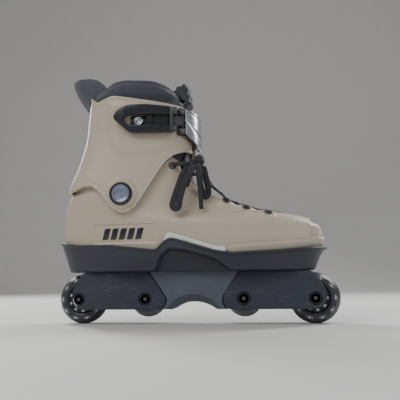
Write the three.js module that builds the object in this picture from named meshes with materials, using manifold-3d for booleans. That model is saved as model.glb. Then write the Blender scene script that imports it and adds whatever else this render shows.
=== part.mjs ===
// A right-foot plastic inline skate for street and ramp skating, in millimetres.
// X runs to the toe, Y to the inner side of the foot and Z up. The origin is on the ground, midway
// between the two outer axles and between the two sides of the frame.
import * as THREE from "three";
import { mergeVertices } from "three/addons/utils/BufferGeometryUtils.js";
import Module from "manifold-3d";

const wasm = await Module();
wasm.setup();

// ---- driving dimensions ----
const gap = 0.3; // the space left between two pieces that seat on each other
const through = 60; // how far a cutting tool reaches past what it cuts

const outerAxleX = 137.25; // the big wheels, from the middle of the wheelbase
const innerAxleX = 57.2; // the small anti-rocker wheels
const wheelRadius = 29;
const innerWheelRadius = 21.2;
const wheelWidth = 24;
const treadWidth = 11; // the flat band that touches the ground
const hubRadius = 15.7;
const bearing = { outer: 11, bore: 4, width: 7 };
const axleRadius = 3.7;
const axleHead = { radius: 6.2, thickness: 2.2 };

const frameInnerHalf = 13; // half the channel that the wheels run in
const frameWall = 4.7;
const plateThickness = 4;
const frameUnderAxle = 12; // from the axles down to the frame's lower edge
const frameOverWheel = 2; // from the top of the big wheels up to the frame's deck
const frameDeck = 7.5; // thickness of the deck over the small wheels
const frameDeckInset = 31.25; // from the outer axles to the ends of the deck
const blockInset = 24.2; // from the small wheels' axles to the solid grinding block between them
const counterbore = { radius: 7.7, depth: 3 };

const soleFloor = 5.2; // thickness of the soulplate under the shell
const soleHeel = { low: -153.6, high: -164.9 };
const soleToe = { low: 138.9, high: 155.1 };
const soleHalf = { low: 38, high: 52.5 };
const soleRimHeight = 97.5;
const shimThickness = 4;

const shellWall = 4;
const throatHalf = 21; // half the lacing gap in the shell
const throatFront = 103; // where the lacing gap ends over the toes
const linerWall = 6;
const linerClearance = 1;
const heelPadThickness = 3.7;
const insoleThickness = 2.7;

const cuffWall = 4;
const pivotX = -79.7;
const pivotZ = 149.5;
const pivot = { shank: 5, head: 10.5, ring: 13.3, ringBore: 10.8, boss: 17, nut: 9 };
const cuffSlotHalf = 14; // half the front opening of the cuff
const cuffFlexForward = 6; // degrees, as far as the liner and its tongue are cut clear for

const leverPinX = -21;
const leverPinRadius = 1.6;
const strap = { low: 229, high: 241, thickness: 2.4, lateralEnd: -43, medialEnd: -52 };
const laceRadius = 2.2;

const grind = { half: 26, rise: 8.7, faceHalf: 34.5, faceRise: 18.4 }; // the arch under the block
const bolt = { x: 82.5, shank: 3, head: 5, headHeight: 3.4 }; // the two frame mounting bolts

// ---- sizes worked out from them ----
const axleZ = wheelRadius;
const frameBottom = axleZ - frameUnderAxle;
const frameTop = 2 * wheelRadius + frameOverWheel;
const frameWallHalf = frameInnerHalf + frameWall;
const frameHalf = frameWallHalf + gap + plateThickness;
const bootBase = 60; // the height of the frame's deck as the boot below is drawn
const bootLift = frameTop - bootBase; // the boot stands on the deck, wherever that is
const soleBottom = bootBase + gap;
const shellBottom = soleBottom + soleFloor + gap;
const shellFloorTop = shellBottom + shellWall;
const linerBottom = shellFloorTop + gap + heelPadThickness + gap;
const linerFloorTop = linerBottom + linerWall;
const cuffPlaneY = 46.5; // half the width of the cuff at its pivots
const bossY = cuffPlaneY + 1;

// ---- helpers: solids from three.js geometry, joined and cut by manifold ----
function solid(geometry) {
  geometry.deleteAttribute("normal");
  geometry.deleteAttribute("uv");
  const merged = mergeVertices(geometry, 1e-4);
  const vertProperties = merged.attributes.position.array;
  const triVerts = new Uint32Array(merged.index.array);
  return new wasm.Manifold(new wasm.Mesh({ numProp: 3, vertProperties, triVerts }));
}

function geometryOf(manifold) {
  const mesh = manifold.getMesh();
  const geometry = new THREE.BufferGeometry();
  geometry.setAttribute("position", new THREE.BufferAttribute(mesh.vertProperties, 3));
  geometry.setIndex(new THREE.BufferAttribute(mesh.triVerts, 1));
  return geometry;
}

function shapeOf(points) {
  return new THREE.Shape(points.map(([a, b]) => new THREE.Vector2(a, b)));
}

// An outline drawn in X and Z, pushed through from y0 to y1.
function sideways(points, y0, y1) {
  const geometry = new THREE.ExtrudeGeometry(shapeOf(points), { depth: y1 - y0, bevelEnabled: false });
  geometry.rotateX(Math.PI / 2);
  geometry.translate(0, y1, 0);
  return solid(geometry);
}

// An outline drawn in X and Y, pushed up from z0 to z1.
function upwards(points, z0, z1) {
  const geometry = new THREE.ExtrudeGeometry(shapeOf(points), { depth: z1 - z0, bevelEnabled: false });
  geometry.translate(0, 0, z0);
  return solid(geometry);
}

function box(x0, x1, y0, y1, z0, z1) {
  const geometry = new THREE.BoxGeometry(x1 - x0, y1 - y0, z1 - z0);
  geometry.translate((x0 + x1) / 2, (y0 + y1) / 2, (z0 + z1) / 2);
  return solid(geometry);
}

function rodY(radius, x, z, y0, y1, sides = 12) {
  const geometry = new THREE.CylinderGeometry(radius, radius, y1 - y0, sides);
  geometry.translate(x, (y0 + y1) / 2, z);
  return solid(geometry);
}

function rodZ(radius, x, y, z0, z1, sides = 10) {
  const geometry = new THREE.CylinderGeometry(radius, radius, z1 - z0, sides);
  geometry.rotateX(Math.PI / 2);
  geometry.translate(x, y, (z0 + z1) / 2);
  return solid(geometry);
}

// The same reach of Y on either side of the skate, which has its medial side at 1 and its lateral side at -1.
function spanOf(side, near, far) {
  return side > 0 ? [near, far] : [-far, -near];
}

// A closed skin through rings of the same number of points, with a flat cap on each end ring.
function loft(rings) {
  const count = rings[0].length;
  const positions = rings.flat().flatMap((p) => [p.x, p.y, p.z]);
  const index = [];
  for (let r = 0; r + 1 < rings.length; r++) {
    for (let i = 0; i < count; i++) {
      const a = r * count + i;
      const b = r * count + ((i + 1) % count);
      index.push(a, b, b + count, a, b + count, a + count);
    }
  }
  for (const [r, flip] of [[0, true], [rings.length - 1, false]]) {
    const middle = new THREE.Vector3();
    for (const p of rings[r]) middle.addScaledVector(p, 1 / count);
    const hub = positions.length / 3;
    positions.push(middle.x, middle.y, middle.z);
    for (let i = 0; i < count; i++) {
      const a = r * count + i;
      const b = r * count + ((i + 1) % count);
      index.push(...(flip ? [b, a, hub] : [a, b, hub]));
    }
  }
  const geometry = new THREE.BufferGeometry();
  geometry.setAttribute("position", new THREE.Float32BufferAttribute(positions, 3));
  geometry.setIndex(index);
  return solid(geometry);
}

const roundness = 0.72; // of every level: 1 is an ellipse, less is squarer

// One level of a boot: a rounded outline from back to front, with its own half width at each end.
function level({ z, back, front, backHalf, frontHalf }, inset = 0, sides = 24) {
  const middle = (back + front) / 2;
  const reach = (front - back) / 2 - inset;
  const ring = [];
  for (let i = 0; i < sides; i++) {
    const angle = (2 * Math.PI * i) / sides;
    const c = Math.cos(angle);
    const s = Math.sin(angle);
    const along = Math.sign(c) * Math.abs(c) ** roundness;
    const toFront = THREE.MathUtils.smoothstep(along, -0.5, 0.6);
    const half = THREE.MathUtils.lerp(backHalf, frontHalf, toFront) - inset;
    ring.push(new THREE.Vector3(middle + reach * along, half * Math.sign(s) * Math.abs(s) ** roundness, z));
  }
  return ring;
}

// The half width of a level between two places along it: the least of it, or the most.
function sideOf(row, x0, x1, inset = 0, pick = Math.min) {
  const ring = level(row, inset, 96).filter((p) => p.y > 0 && p.x > x0 - 2 && p.x < x1 + 2);
  return pick(...ring.map((p) => p.y));
}

function levels(rows, inset = 0) {
  return loft(rows.map((row) => level(row, inset)));
}

function at(rows, z) {
  const i = Math.min(rows.findIndex((row) => row.z >= z), rows.length - 1);
  const [low, high] = [rows[Math.max(i - 1, 0)], rows[i < 0 ? rows.length - 1 : i]];
  const t = high.z === low.z ? 0 : (z - low.z) / (high.z - low.z);
  const mix = (key) => THREE.MathUtils.lerp(low[key], high[key], t);
  const [back, front, backHalf, frontHalf] = ["back", "front", "backHalf", "frontHalf"].map(mix);
  return { z, back, front, backHalf, frontHalf };
}

// The same levels inset by a wall all round, lowered by it where the outline closes over the toe.
function within(rows, inset, bottom, top) {
  const lowered = rows.map((row) => ({ ...row, z: row.z - inset }))
    .filter((row) => row.z > bottom + 1 && row.z < top - 1);
  const rings = [{ ...at(rows, bottom), z: bottom }, ...lowered, { ...at(rows, top), z: top }];
  return levels(rings, inset);
}

// ---- materials ----
const finish = (color, roughness, metalness = 0) =>
  new THREE.MeshStandardMaterial({ color, roughness, metalness });
const sandPlastic = finish(0xb8ac98, 0.45);
const darkPlastic = finish(0x363b44, 0.6);
const blockPlastic = finish(0x50545f, 0.65);
const whitePlastic = finish(0xe6e6e4, 0.4);
const linerFabric = finish(0x2b2d38, 0.9);
const foam = finish(0x3a3a3c, 0.95);
const blackPlastic = finish(0x1c1d20, 0.45);
const buttonPlastic = finish(0x5b7080, 0.4);
const silver = finish(0xc8cacc, 0.25, 0.9);
const steel = finish(0x8a8c90, 0.3, 1);
const blackSteel = finish(0x202124, 0.4, 0.8);
const tyreRubber = finish(0x3b3d44, 0.6);
const greyRubber = finish(0x6d7078, 0.6);
const laceFabric = finish(0x17171a, 0.95);

const skate = new THREE.Group();
const boot = new THREE.Group();
boot.position.z = bootLift;
skate.add(boot);

function add(name, shape, material, parent = skate) {
  const mesh = new THREE.Mesh(shape instanceof THREE.BufferGeometry ? shape : geometryOf(shape), material);
  mesh.name = name;
  parent.add(mesh);
}

// ---- wheels ----
// A ring turned about Y. Half a step of turn puts a flat facet, not a corner, against the ground.
// Its facets lie at the stated radii, or with corners set its corners do, so that it fits in a round seat.
function turned(profile, segments, corners = false) {
  const grow = corners ? 1 : 1 / Math.cos(Math.PI / segments);
  const points = profile.map(([radius, y]) => new THREE.Vector2(radius * grow, y));
  points.push(points[0].clone());
  return new THREE.LatheGeometry(points, segments, Math.PI / segments);
}

function wheelProfile(radius, bore) {
  const half = wheelWidth / 2;
  const shoulder = radius * 0.12;
  return [
    [bore, -half], [bore + 0.6 * (radius - bore), -half], [radius - shoulder, -half * 0.8],
    [radius, -treadWidth / 2],
    [radius, treadWidth / 2], [radius - shoulder, half * 0.8], [bore + 0.6 * (radius - bore), half],
    [bore, half],
  ];
}

function hubProfile(outer) {
  const half = wheelWidth / 2;
  const seat = half - bearing.width - gap;
  const bore = bearing.outer + gap;
  const web = bearing.outer - 2.5;
  return [
    [outer, half], [bore, half], [bore, seat], [web, seat],
    [web, -seat], [bore, -seat], [bore, -half], [outer, -half],
  ];
}

function addBearings(name, group) {
  const [y0, y1] = [wheelWidth / 2 - bearing.width, wheelWidth / 2];
  for (const [side, low, high] of [["lateral", -y1, -y0], ["medial", y0, y1]]) {
    const ring = [[bearing.bore, high], [bearing.bore, low], [bearing.outer, low], [bearing.outer, high]];
    add(`${name}_bearing_${side}`, turned(ring, 12, true), steel, group);
  }
}

function wheelGroup(x) {
  const group = new THREE.Group();
  group.position.set(x, 0, axleZ);
  skate.add(group);
  return group;
}

for (const [end, x] of [["rear", -outerAxleX], ["front", outerAxleX]]) {
  const group = wheelGroup(x);
  add(`${end}_tyre`, turned(wheelProfile(wheelRadius, hubRadius + gap), 24), tyreRubber, group);
  add(`${end}_hub`, turned(hubProfile(hubRadius), 16), silver, group);
  addBearings(`${end}_wheel`, group);
}

for (const [end, x] of [["rear", -innerAxleX], ["front", innerAxleX]]) {
  const group = wheelGroup(x);
  const outer = wheelProfile(innerWheelRadius, bearing.outer + gap).slice(1, -1);
  const inner = hubProfile(0).slice(1, -1);
  const half = wheelWidth / 2;
  const flank = outer[0][0] - 2;
  const profile = [...outer, [flank, half], ...inner, [flank, -half]];
  add(`${end}_inner_wheel`, turned(profile, 16), greyRubber, group);
  addBearings(`${end}_inner_wheel`, group);
}

// ---- frame ----
// The side plates are drawn from the two axles that each one joins, around its outer end
// and back past its inner one.
const [deck, edge] = [frameTop - axleZ, -frameUnderAxle];

function fromAxles(outer, outerEnd, inner, innerEnd) {
  const place = (axle, points) => points.map(([x, z]) => [axle + x, axleZ + z]);
  return [...place(outer, outerEnd), ...place(inner, innerEnd)];
}

const rearPlateOutline = fromAxles(
  -outerAxleX, [[3.75, deck], [-5.25, 14], [-7.25, 7], [-7, 0], [-3.75, -7.5], [1.25, edge]],
  -innerAxleX, [[18.2, edge], [22.2, -9], [24.2, -4], [24.2, 1], [4.2, deck]],
);
const frontPlateOutline = fromAxles(
  outerAxleX, [[-1.75, deck], [11.25, 10], [12.75, 4], [12.25, -2], [9.25, -8], [3.75, edge]],
  innerAxleX, [[-17.7, edge], [-21.7, -7], [-23.2, -1.5], [-22.7, 3.5], [-3.7, deck]],
);

// The underside of the block: a low arch in the middle that opens out to a higher one at each face.
function arch(y, half, apex) {
  const base = frameBottom - 0.1;
  const steps = 8;
  const rise = apex - base;
  const radius = (half * half + rise * rise) / (2 * rise);
  const ring = [new THREE.Vector3(half, y, base - 20)];
  for (let i = 0; i <= steps; i++) {
    const x = half * (1 - (2 * i) / steps);
    ring.push(new THREE.Vector3(x, y, apex - radius + Math.sqrt(radius * radius - x * x)));
  }
  ring.push(new THREE.Vector3(-half, y, base - 20));
  return ring;
}

function archCut() {
  const face = frameHalf + 1;
  const [low, high] = [frameBottom + grind.rise, frameBottom + grind.faceRise];
  const outer = (y) => arch(y, grind.faceHalf, high);
  const inner = (y) => arch(y, grind.half, low);
  return loft([outer(face), inner(frameInnerHalf + 1), inner(-frameInnerHalf - 1), outer(-face)]);
}

function frameSide(side) {
  const [rear, front, step] = [-outerAxleX, outerAxleX, frameBottom + 1];
  const wall = [
    [rear + 5.75, frameTop], [rear - 3.75, axleZ + 14], [rear - 4.75, axleZ + 1], [rear + 2.75, step],
    [-innerAxleX - 3, step], [-innerAxleX + 21, frameBottom], [innerAxleX - 21, frameBottom],
    [innerAxleX + 3, step],
    [front + 2.25, step], [front + 10.25, axleZ], [front + 9.25, axleZ + 10], [front - 3.75, frameTop],
  ];
  const [left, right] = [-innerAxleX + 24.8, innerAxleX - 23.5];
  const block = [
    [-innerAxleX + 4.8, frameTop], [left, axleZ + 1.2], [left, axleZ - 4], [left - 2, axleZ - 9.4],
    [left - 3.6, frameBottom], [right + 2.6, frameBottom], [right + 1.3, axleZ - 7.4],
    [right - 0.3, axleZ - 1.5],
    [right + 0.2, axleZ + 3.8],
    [innerAxleX - 4.4, frameTop],
  ];
  const thin = sideways(wall, ...spanOf(side, frameInnerHalf, frameWallHalf));
  return thin.add(sideways(block, ...spanOf(side, frameInnerHalf, frameHalf)));
}

function boltHoles(body, z0, z1) {
  const hole = (x) => rodZ(bolt.shank + gap, x, 0, z0, z1);
  return body.subtract(hole(-bolt.x)).subtract(hole(bolt.x));
}

function frame() {
  const frameDeckEnd = outerAxleX - frameDeckInset;
  const bearingBoss = 0.7; // how far a boss stands in to meet the bearing
  const bossRadius = 6;
  const blockHalf = innerAxleX - blockInset;
  let body = box(-frameDeckEnd, frameDeckEnd, -frameWallHalf, frameWallHalf, frameTop - frameDeck, frameTop);
  body = body.add(box(-blockHalf, blockHalf, -frameWallHalf, frameWallHalf, frameBottom, frameTop));
  body = body.add(frameSide(1)).add(frameSide(-1)).subtract(archCut());
  for (const x of [-outerAxleX, -innerAxleX, innerAxleX, outerAxleX]) {
    for (const side of [-1, 1]) {
      const reach = spanOf(side, frameInnerHalf - bearingBoss, frameInnerHalf + 1);
      body = body.add(rodY(bossRadius, x, axleZ, ...reach));
    }
    body = body.subtract(rodY(axleRadius + gap, x, axleZ, -through, through));
  }
  return boltHoles(body, frameTop - frameDeck - 1, frameTop + 1);
}

function sidePlate(outline, axles, side) {
  let plate = sideways(outline, ...spanOf(side, frameWallHalf + gap, frameHalf));
  const recessed = spanOf(side, frameHalf - counterbore.depth, through);
  for (const x of axles) {
    plate = plate.subtract(rodY(axleRadius + gap, x, axleZ, -through, through));
    plate = plate.subtract(rodY(counterbore.radius, x, axleZ, ...recessed));
  }
  return plate;
}

add("frame", frame(), blockPlastic);
for (const [name, side] of [["lateral", -1], ["medial", 1]]) {
  add(`rear_side_plate_${name}`, sidePlate(rearPlateOutline, [-outerAxleX, -innerAxleX], side), darkPlastic);
  add(`front_side_plate_${name}`, sidePlate(frontPlateOutline, [innerAxleX, outerAxleX], side), darkPlastic);
}

function axleBolt(x) {
  const seat = -(frameHalf - counterbore.depth) - gap;
  const head = rodY(axleHead.radius, x, axleZ, seat - axleHead.thickness, seat);
  return head.add(rodY(axleRadius, x, axleZ, seat - 1, frameHalf - 0.6));
}

function axleNut(x) {
  const seat = frameHalf - counterbore.depth + gap;
  const ring = rodY(axleHead.radius, x, axleZ, seat, seat + axleHead.thickness);
  return ring.subtract(rodY(axleRadius + gap, x, axleZ, -through, through));
}

const axles = {
  rear_outer: -outerAxleX, rear_inner: -innerAxleX, front_inner: innerAxleX, front_outer: outerAxleX,
};
for (const [name, x] of Object.entries(axles)) {
  add(`${name}_axle_bolt`, axleBolt(x), blackSteel);
  add(`${name}_axle_nut`, axleNut(x), blackSteel);
}

for (const [name, x] of [["heel", -bolt.x], ["toe", bolt.x]]) {
  const seat = frameTop - frameDeck - gap;
  const head = rodZ(bolt.head, x, 0, seat - bolt.headHeight, seat);
  const shank = rodZ(bolt.shank, x, 0, seat - 1, shellFloorTop + bootLift - 0.5);
  add(`frame_bolt_${name}`, head.add(shank), blackSteel);
}

// ---- shell ----
const heelArc = 67; // the ankle of the shell turns inside the cuff, so its back is round about the pivot
const heelOf = (z) => pivotX - Math.sqrt(heelArc ** 2 - (z - pivotZ) ** 2);
const shellTop = 201;
const row = (z, back, front, backHalf, frontHalf) => ({ z, back, front, backHalf, frontHalf });
const shellLevels = [
  row(shellBottom, -147, 136, 33.5, 36), row(80, -154, 143.5, 39, 42.5), row(90, -158.5, 149.5, 40, 45),
  row(97, -159.8, 152, 40, 46),
  row(112, -161, 147.5, 41, 45.5), row(117, -161, 137.5, 41.5, 44), row(122, -160.5, 130, 41.5, 40),
  row(126, -160, 104, 41.5, 35), row(130, -159.4, 86, 41.5, 33), row(138, -157.5, 58, 41.5, 33),
  row(150, -153.7, 28, 41.5, 35), row(156, heelOf(156), 17, 41, 35.5), row(165, heelOf(165), 4, 40.5, 36),
  row(182, heelOf(182), -9, 39, 36), row(shellTop, heelOf(shellTop), -16, 37, 35),
];

// The outline from above of a slot that is open at the back and round at its front end.
function slot(back, front, half) {
  const outline = [[back, half], [back, -half]];
  const steps = 6;
  for (let i = 0; i <= steps; i++) {
    const angle = -Math.PI / 2 + (Math.PI * i) / steps;
    outline.push([front - half + half * Math.cos(angle), half * Math.sin(angle)]);
  }
  return outline;
}

function shell() {
  const mouth = within(shellLevels.slice(-2), shellWall, shellTop - 7, shellTop + 5);
  const cavity = within(shellLevels, shellWall, shellFloorTop, shellTop).add(mouth);
  let body = levels(shellLevels).subtract(cavity);
  body = body.subtract(upwards(slot(-60, throatFront, throatHalf), linerFloorTop + 20, shellTop + through));
  body = body.subtract(rodY(pivot.shank + gap, pivotX, pivotZ, -through, through));
  return boltHoles(body, shellBottom - 1, shellFloorTop + 1);
}

add("shell", shell(), sandPlastic, boot);

// ---- soulplate and shims ----
const soleLevels = [
  row(soleBottom, soleHeel.low, soleToe.low, soleHalf.low - 3, soleHalf.low),
  row(78, -158.4, 146, 43, 46),
  row(88, -162.2, soleToe.high, 46, 51),
  row(soleRimHeight + 1, soleHeel.high, soleToe.high + 2, 47, soleHalf.high),
];
const rimLine = [
  [-175, 96.5], [-164.9, 96.1], [-134.9, 91.9], [-94.2, 91.1], [-39.9, 84.7], [-30, 94.1],
  [-24.6, 97.2], [-19.1, 97.1],
  [-6.1, 93.7], [25.9, 83.5], [47, 80], [99.1, 82.2], [140, 85.2], [175, 87.6],
];
const recess = [
  [-43, 58], [-43, 61.4], [-35.3, 78.4], [-24.3, 86.5], [-6.9, 84.5], [25.3, 75.5], [40, 65.6], [43.1, 61.3],
  [43.1, 58],
];
const recessHalf = 44; // half the width left between the two recesses

function soulplate() {
  const above = [...rimLine, [175, 130], [-175, 130]];
  const bed = levels(shellLevels.slice(0, 5), -gap);
  let plate = levels(soleLevels).subtract(sideways(above, -through * 2, through * 2)).subtract(bed);
  for (const side of [-1, 1]) plate = plate.subtract(sideways(recess, ...spanOf(side, recessHalf, through)));
  return boltHoles(plate, soleBottom - 1, shellBottom + 1);
}

function shim(side) {
  const outline = [
    [-30.4, 94.6], [-27.1, 102.8], [-23.9, 104.5], [-6.4, 99.1], [25.7, 88.9], [39.6, 87.4],
    [39.6, 81.8], [25.9, 84], [-6.1, 94.2], [-19.1, 97.6], [-24.6, 97.7],
  ];
  const inner = levels(shellLevels.slice(0, 7), -gap);
  const outer = levels(shellLevels.slice(0, 7), -gap - shimThickness);
  return sideways(outline, ...spanOf(side, 30, 50)).intersect(outer).subtract(inner);
}

add("soulplate", soulplate(), darkPlastic, boot);
add("arch_shim_lateral", shim(-1), whitePlastic, boot);
add("arch_shim_medial", shim(1), whitePlastic, boot);

// ---- cuff ----
const cuffLevels = [
  row(118, -158, -2, 46, 44), row(pivotZ, -157, 0, cuffPlaneY, 45), row(160.5, -155.6, 2, 46, 44),
  row(185, -144.4, 2, 44, 42), row(201, -139, 0, 43, 41), row(219, -133.7, -2, 42.5, 40),
  row(235, -131.8, -3.5, 43, 40), row(251, -130.4, -6, 44, 40), row(278, -127.3, -12, 46, 41),
];
const cuffBottomLine = [
  [20, 201.6], [-6.4, 200.8], [-19.9, 195.7], [-28.9, 188.2], [-37.9, 175.1], [-51.3, 153.2], [-62.5, 135.8],
  [-71.5, 128.8], [-80.6, 127.5], [-89.7, 132.1], [-96.6, 140.2], [-106, 152], [-116.6, 160.5],
  [-127.2, 160.5],
  [-141.4, 156.5], [-175, 156.5],
];
const cuffTopLine = [[-175, 274], [-126, 274], [-113, 262], [-92, 268], [-57, 262.5], [-20, 256], [20, 248]];

function cuff() {
  const [lowest, highest] = [{ ...cuffLevels[0], z: 117 }, { ...cuffLevels.at(-1), z: 280 }];
  const cavity = levels([lowest, ...cuffLevels.slice(1, -1), highest], cuffWall);
  let body = levels(cuffLevels);
  for (const side of [-1, 1]) {
    body = body.add(rodY(pivot.boss, pivotX, pivotZ, ...spanOf(side, cuffPlaneY - 3, bossY), 18));
  }
  body = body.subtract(cavity);
  body = body.subtract(sideways([...cuffBottomLine, [-175, 90], [20, 90]], -through * 2, through * 2));
  body = body.subtract(sideways([...cuffTopLine, [20, 320], [-175, 320]], -through * 2, through * 2));
  body = body.subtract(box(-40, 30, -cuffSlotHalf, cuffSlotHalf, 100, 300));
  return body.subtract(rodY(pivot.shank + gap, pivotX, pivotZ, -through, through));
}

add("cuff", cuff(), sandPlastic, boot);

const nutThickness = 2.5;
const nutReach = [pivotX - pivot.nut, pivotX + pivot.nut];
const shellInsideAt = (end) =>
  sideOf(at(shellLevels, pivotZ + shellWall + end * pivot.nut), ...nutReach, shellWall);
const nutFace = Math.min(shellInsideAt(-1), shellInsideAt(0), shellInsideAt(1)) - gap;

for (const [name, side] of [["lateral", -1], ["medial", 1]]) {
  const seat = bossY + gap;
  const nut = spanOf(side, nutFace - nutThickness, nutFace);
  const shank = spanOf(side, nutFace - nutThickness, seat + 1);
  const ring = rodY(pivot.ring, pivotX, pivotZ, ...spanOf(side, seat, seat + 2.2), 18);
  const ringBore = rodY(pivot.ringBore, pivotX, pivotZ, -through, through, 18);
  add(`pivot_ring_${name}`, ring.subtract(ringBore), blackPlastic, boot);
  const head = rodY(pivot.head, pivotX, pivotZ, ...spanOf(side, seat, seat + 2.8), 18);
  add(`pivot_bolt_${name}`, head.add(rodY(pivot.shank, pivotX, pivotZ, ...shank)), buttonPlastic, boot);
  const disc = rodY(pivot.nut, pivotX, pivotZ, ...nut);
  const nutBore = rodY(pivot.shank + gap, pivotX, pivotZ, -through, through);
  add(`pivot_nut_${name}`, disc.subtract(nutBore), steel, boot);
}

// ---- liner, tongue and insole ----
const linerInset = shellWall + linerClearance;
const linerTop = 200;
const linerThroatHalf = 19;

function linerFoot() {
  const upTo = linerTop + linerInset;
  let body = within(shellLevels, linerInset, linerBottom, linerTop);
  body = body.subtract(within(shellLevels, linerInset + linerWall, linerFloorTop, upTo));
  const throat = slot(-60, throatFront - 3, linerThroatHalf);
  body = body.subtract(upwards(throat, linerFloorTop + 20, shellTop + through));
  for (const side of [-1, 1]) {
    const pocket = spanOf(side, nutFace - nutThickness - gap, through);
    body = body.subtract(rodY(pivot.nut + 1, pivotX, pivotZ, ...pocket));
  }
  return body;
}

// The shaft of the liner turns with the cuff, so its lower edge rises to the front by the cuff's swing.
function shaftBottom() {
  const rise = (x) => (x - pivotX) * Math.tan(THREE.MathUtils.degToRad(cuffFlexForward + 0.5));
  const clear = shellTop + 3;
  return [[-175, clear], [pivotX, clear], [20, clear + rise(20)], [20, 150], [-175, 150]];
}

const shaftLevels = [...cuffLevels.slice(3, -1), row(278, -127.3, -12, 45, 41), row(306, -124, -18, 44, 41)];
const shaftTopLine = [
  [-175, 277.5], [-113, 277.5], [-101, 281.5], [-92, 287], [-78, 289.5], [-44, 288],
  [-25, 281], [-15, 270], [-4, 260], [20, 258],
];
const pullFlap = [
  [-131.9, 256], [-142, 260.4], [-149.9, 274.7], [-158.6, 302], [-141, 303], [-125, 301], [-108, 288],
  [-108, 275.2], [-131.4, 275.2],
];
const flapHalf = 22;

function linerShaft() {
  const inset = cuffWall + linerClearance;
  const [lowest, highest] = [{ ...shaftLevels[0], z: 150 }, { ...shaftLevels.at(-1), z: 330 }];
  const aboveTop = sideways([...shaftTopLine, [20, 330], [-175, 330]], -through, through);
  let body = levels(shaftLevels, inset).subtract(aboveTop);
  body = body.add(sideways(pullFlap, -flapHalf, flapHalf));
  body = body.subtract(levels([lowest, ...shaftLevels, highest], inset + linerWall));
  body = body.subtract(sideways(shaftBottom(), -through, through));
  return body.subtract(box(-50, 30, -cuffSlotHalf, cuffSlotHalf, 150, 330));
}

const tongueLowTop = [
  [82, 119.5], [68, 124.5], [48, 132.5], [35, 139], [19.4, 147.5], [5, 159], [-3, 173], [-6.5, 187],
  [-7.5, 198],
];
const tongueLowBack = [
  [-19, 198], [-17.5, 186], [-11.5, 171], [-1, 154.5], [15.5, 143], [32, 134], [46, 127.5],
  [66, 119.5], [80, 114.5],
];
const tongueHigh = [
  [-8.5, 217], [-9, 240], [-8, 255], [-3, 264.5], [-5, 279], [-9, 290], [-15.7, 294.6],
  [-24, 293], [-17.5, 279], [-16, 264], [-17.5, 240], [-17, 217],
];

// A strip as wide as a slot, less the room that it needs to lie in the slot.
function tongueStrip(outline, half) {
  const clearance = 0.6;
  return sideways(outline, clearance - half, half - clearance);
}

function insole() {
  const bottom = linerFloorTop + gap;
  const outline = at(shellLevels, 84);
  const pair = [{ ...outline, z: bottom }, { ...outline, z: bottom + insoleThickness }];
  return levels(pair, linerInset + linerWall + 2);
}

function heelPad() {
  const bottom = shellFloorTop + gap;
  const seat = at(shellLevels, bottom - shellWall);
  const pad = levels([{ ...seat, z: bottom }, { ...seat, z: bottom + heelPadThickness }], shellWall + 4);
  return pad.subtract(box(-66, 200, -through, through, 50, 90));
}

add("liner_foot", linerFoot(), linerFabric, boot);
add("liner_shaft", linerShaft(), linerFabric, boot);
add("tongue_lower", tongueStrip([...tongueLowTop, ...tongueLowBack], linerThroatHalf), linerFabric, boot);
add("tongue_upper", tongueStrip(tongueHigh, cuffSlotHalf), linerFabric, boot);
add("insole", insole(), foam, boot);
add("heel_shock_pad", heelPad(), foam, boot);

// ---- buckle and strap ----
// A band that follows the cuff at the height of the strap, from one offset to another.
const strapMiddle = at(cuffLevels, (strap.low + strap.high) / 2);
const widest = { ...strapMiddle, front: at(cuffLevels, 210).front, backHalf: 43.5, frontHalf: 40.7 };

function band(near, far, z0, z1) {
  const outline = (offset) => level(widest, -offset, 48).map((p) => [p.x, p.y]);
  return upwards(outline(far), z0, z1).subtract(upwards(outline(near), z0 - 1, z1 + 1));
}

const leverOutline = [
  [-89.4, 238.9], [-84.2, 248.2], [-74, 253.6], [-53.5, 254.1], [-19.8, 250.4], [-18, 249], [-18, 220.8],
  [-44.4, 219.6], [-69.2, 220.1], [-77.8, 227.3],
];
const leverWindow = [[-77.3, 238.7], [-71.6, 243.4], [-10, 243.4], [-10, 226.6], [-70, 226.6]];
const baseTop = 3;
const strapNear = baseTop + gap;
const leverFar = 10;
const leverPinY = -46.5; // in the middle of the lever's thickness

function buckleBase() {
  const plan = band(0.6, baseTop, 228, 242).intersect(box(-70, -8, -through, 0, 227, 243));
  const lugs = band(0.6, 7, 218.5, 251).intersect(box(-16.8, -8.6, -through, 0, 218.5, 251));
  const strapSpan = box(-18, -7, -through, 0, strap.low - 0.6, strap.high + 0.6);
  const strapWay = band(baseTop, 12, 200, 260).intersect(strapSpan);
  const bothRails = band(0.6, 9, 227.2, 228.4).add(band(0.6, 9, 241.6, 242.8));
  const rails = bothRails.intersect(box(-28, -16, -through, 0, 220, 250));
  return plan.add(rails).add(lugs).subtract(strapWay).subtract(leverPinHole());
}

function leverPinHole() {
  return rodZ(leverPinRadius + gap, leverPinX, leverPinY, 200, 270);
}

function buckleLever() {
  const lever = sideways(leverOutline, -through, 0).intersect(band(strapNear, leverFar, 215, 256));
  return lever.subtract(sideways(leverWindow, -through, 0)).subtract(leverPinHole());
}

function strapBand() {
  const loop = band(strapNear, strapNear + strap.thickness, strap.low, strap.high);
  const pastLateral = box(-170, strap.lateralEnd, -through, 0, 200, 260);
  const pastMedial = box(-170, strap.medialEnd, 0, through, 200, 260);
  return loop.subtract(pastLateral).subtract(pastMedial);
}

function strapShield() {
  const outline = [[-7.4, 251.5], [-4, 249], [10, 245], [20, 240], [20, 202], [7.9, 206.8], [-7.4, 221.6]];
  const near = strapNear + strap.thickness + gap;
  return band(near, near + 2.4, 202, 252).intersect(sideways(outline, -through, 36));
}

function strapCatch() {
  const near = strapNear;
  const end = strap.lateralEnd - 1;
  return band(near, near + 4, strap.low, strap.high).intersect(box(end - 6.5, end, -through, 0, 200, 260));
}

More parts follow.
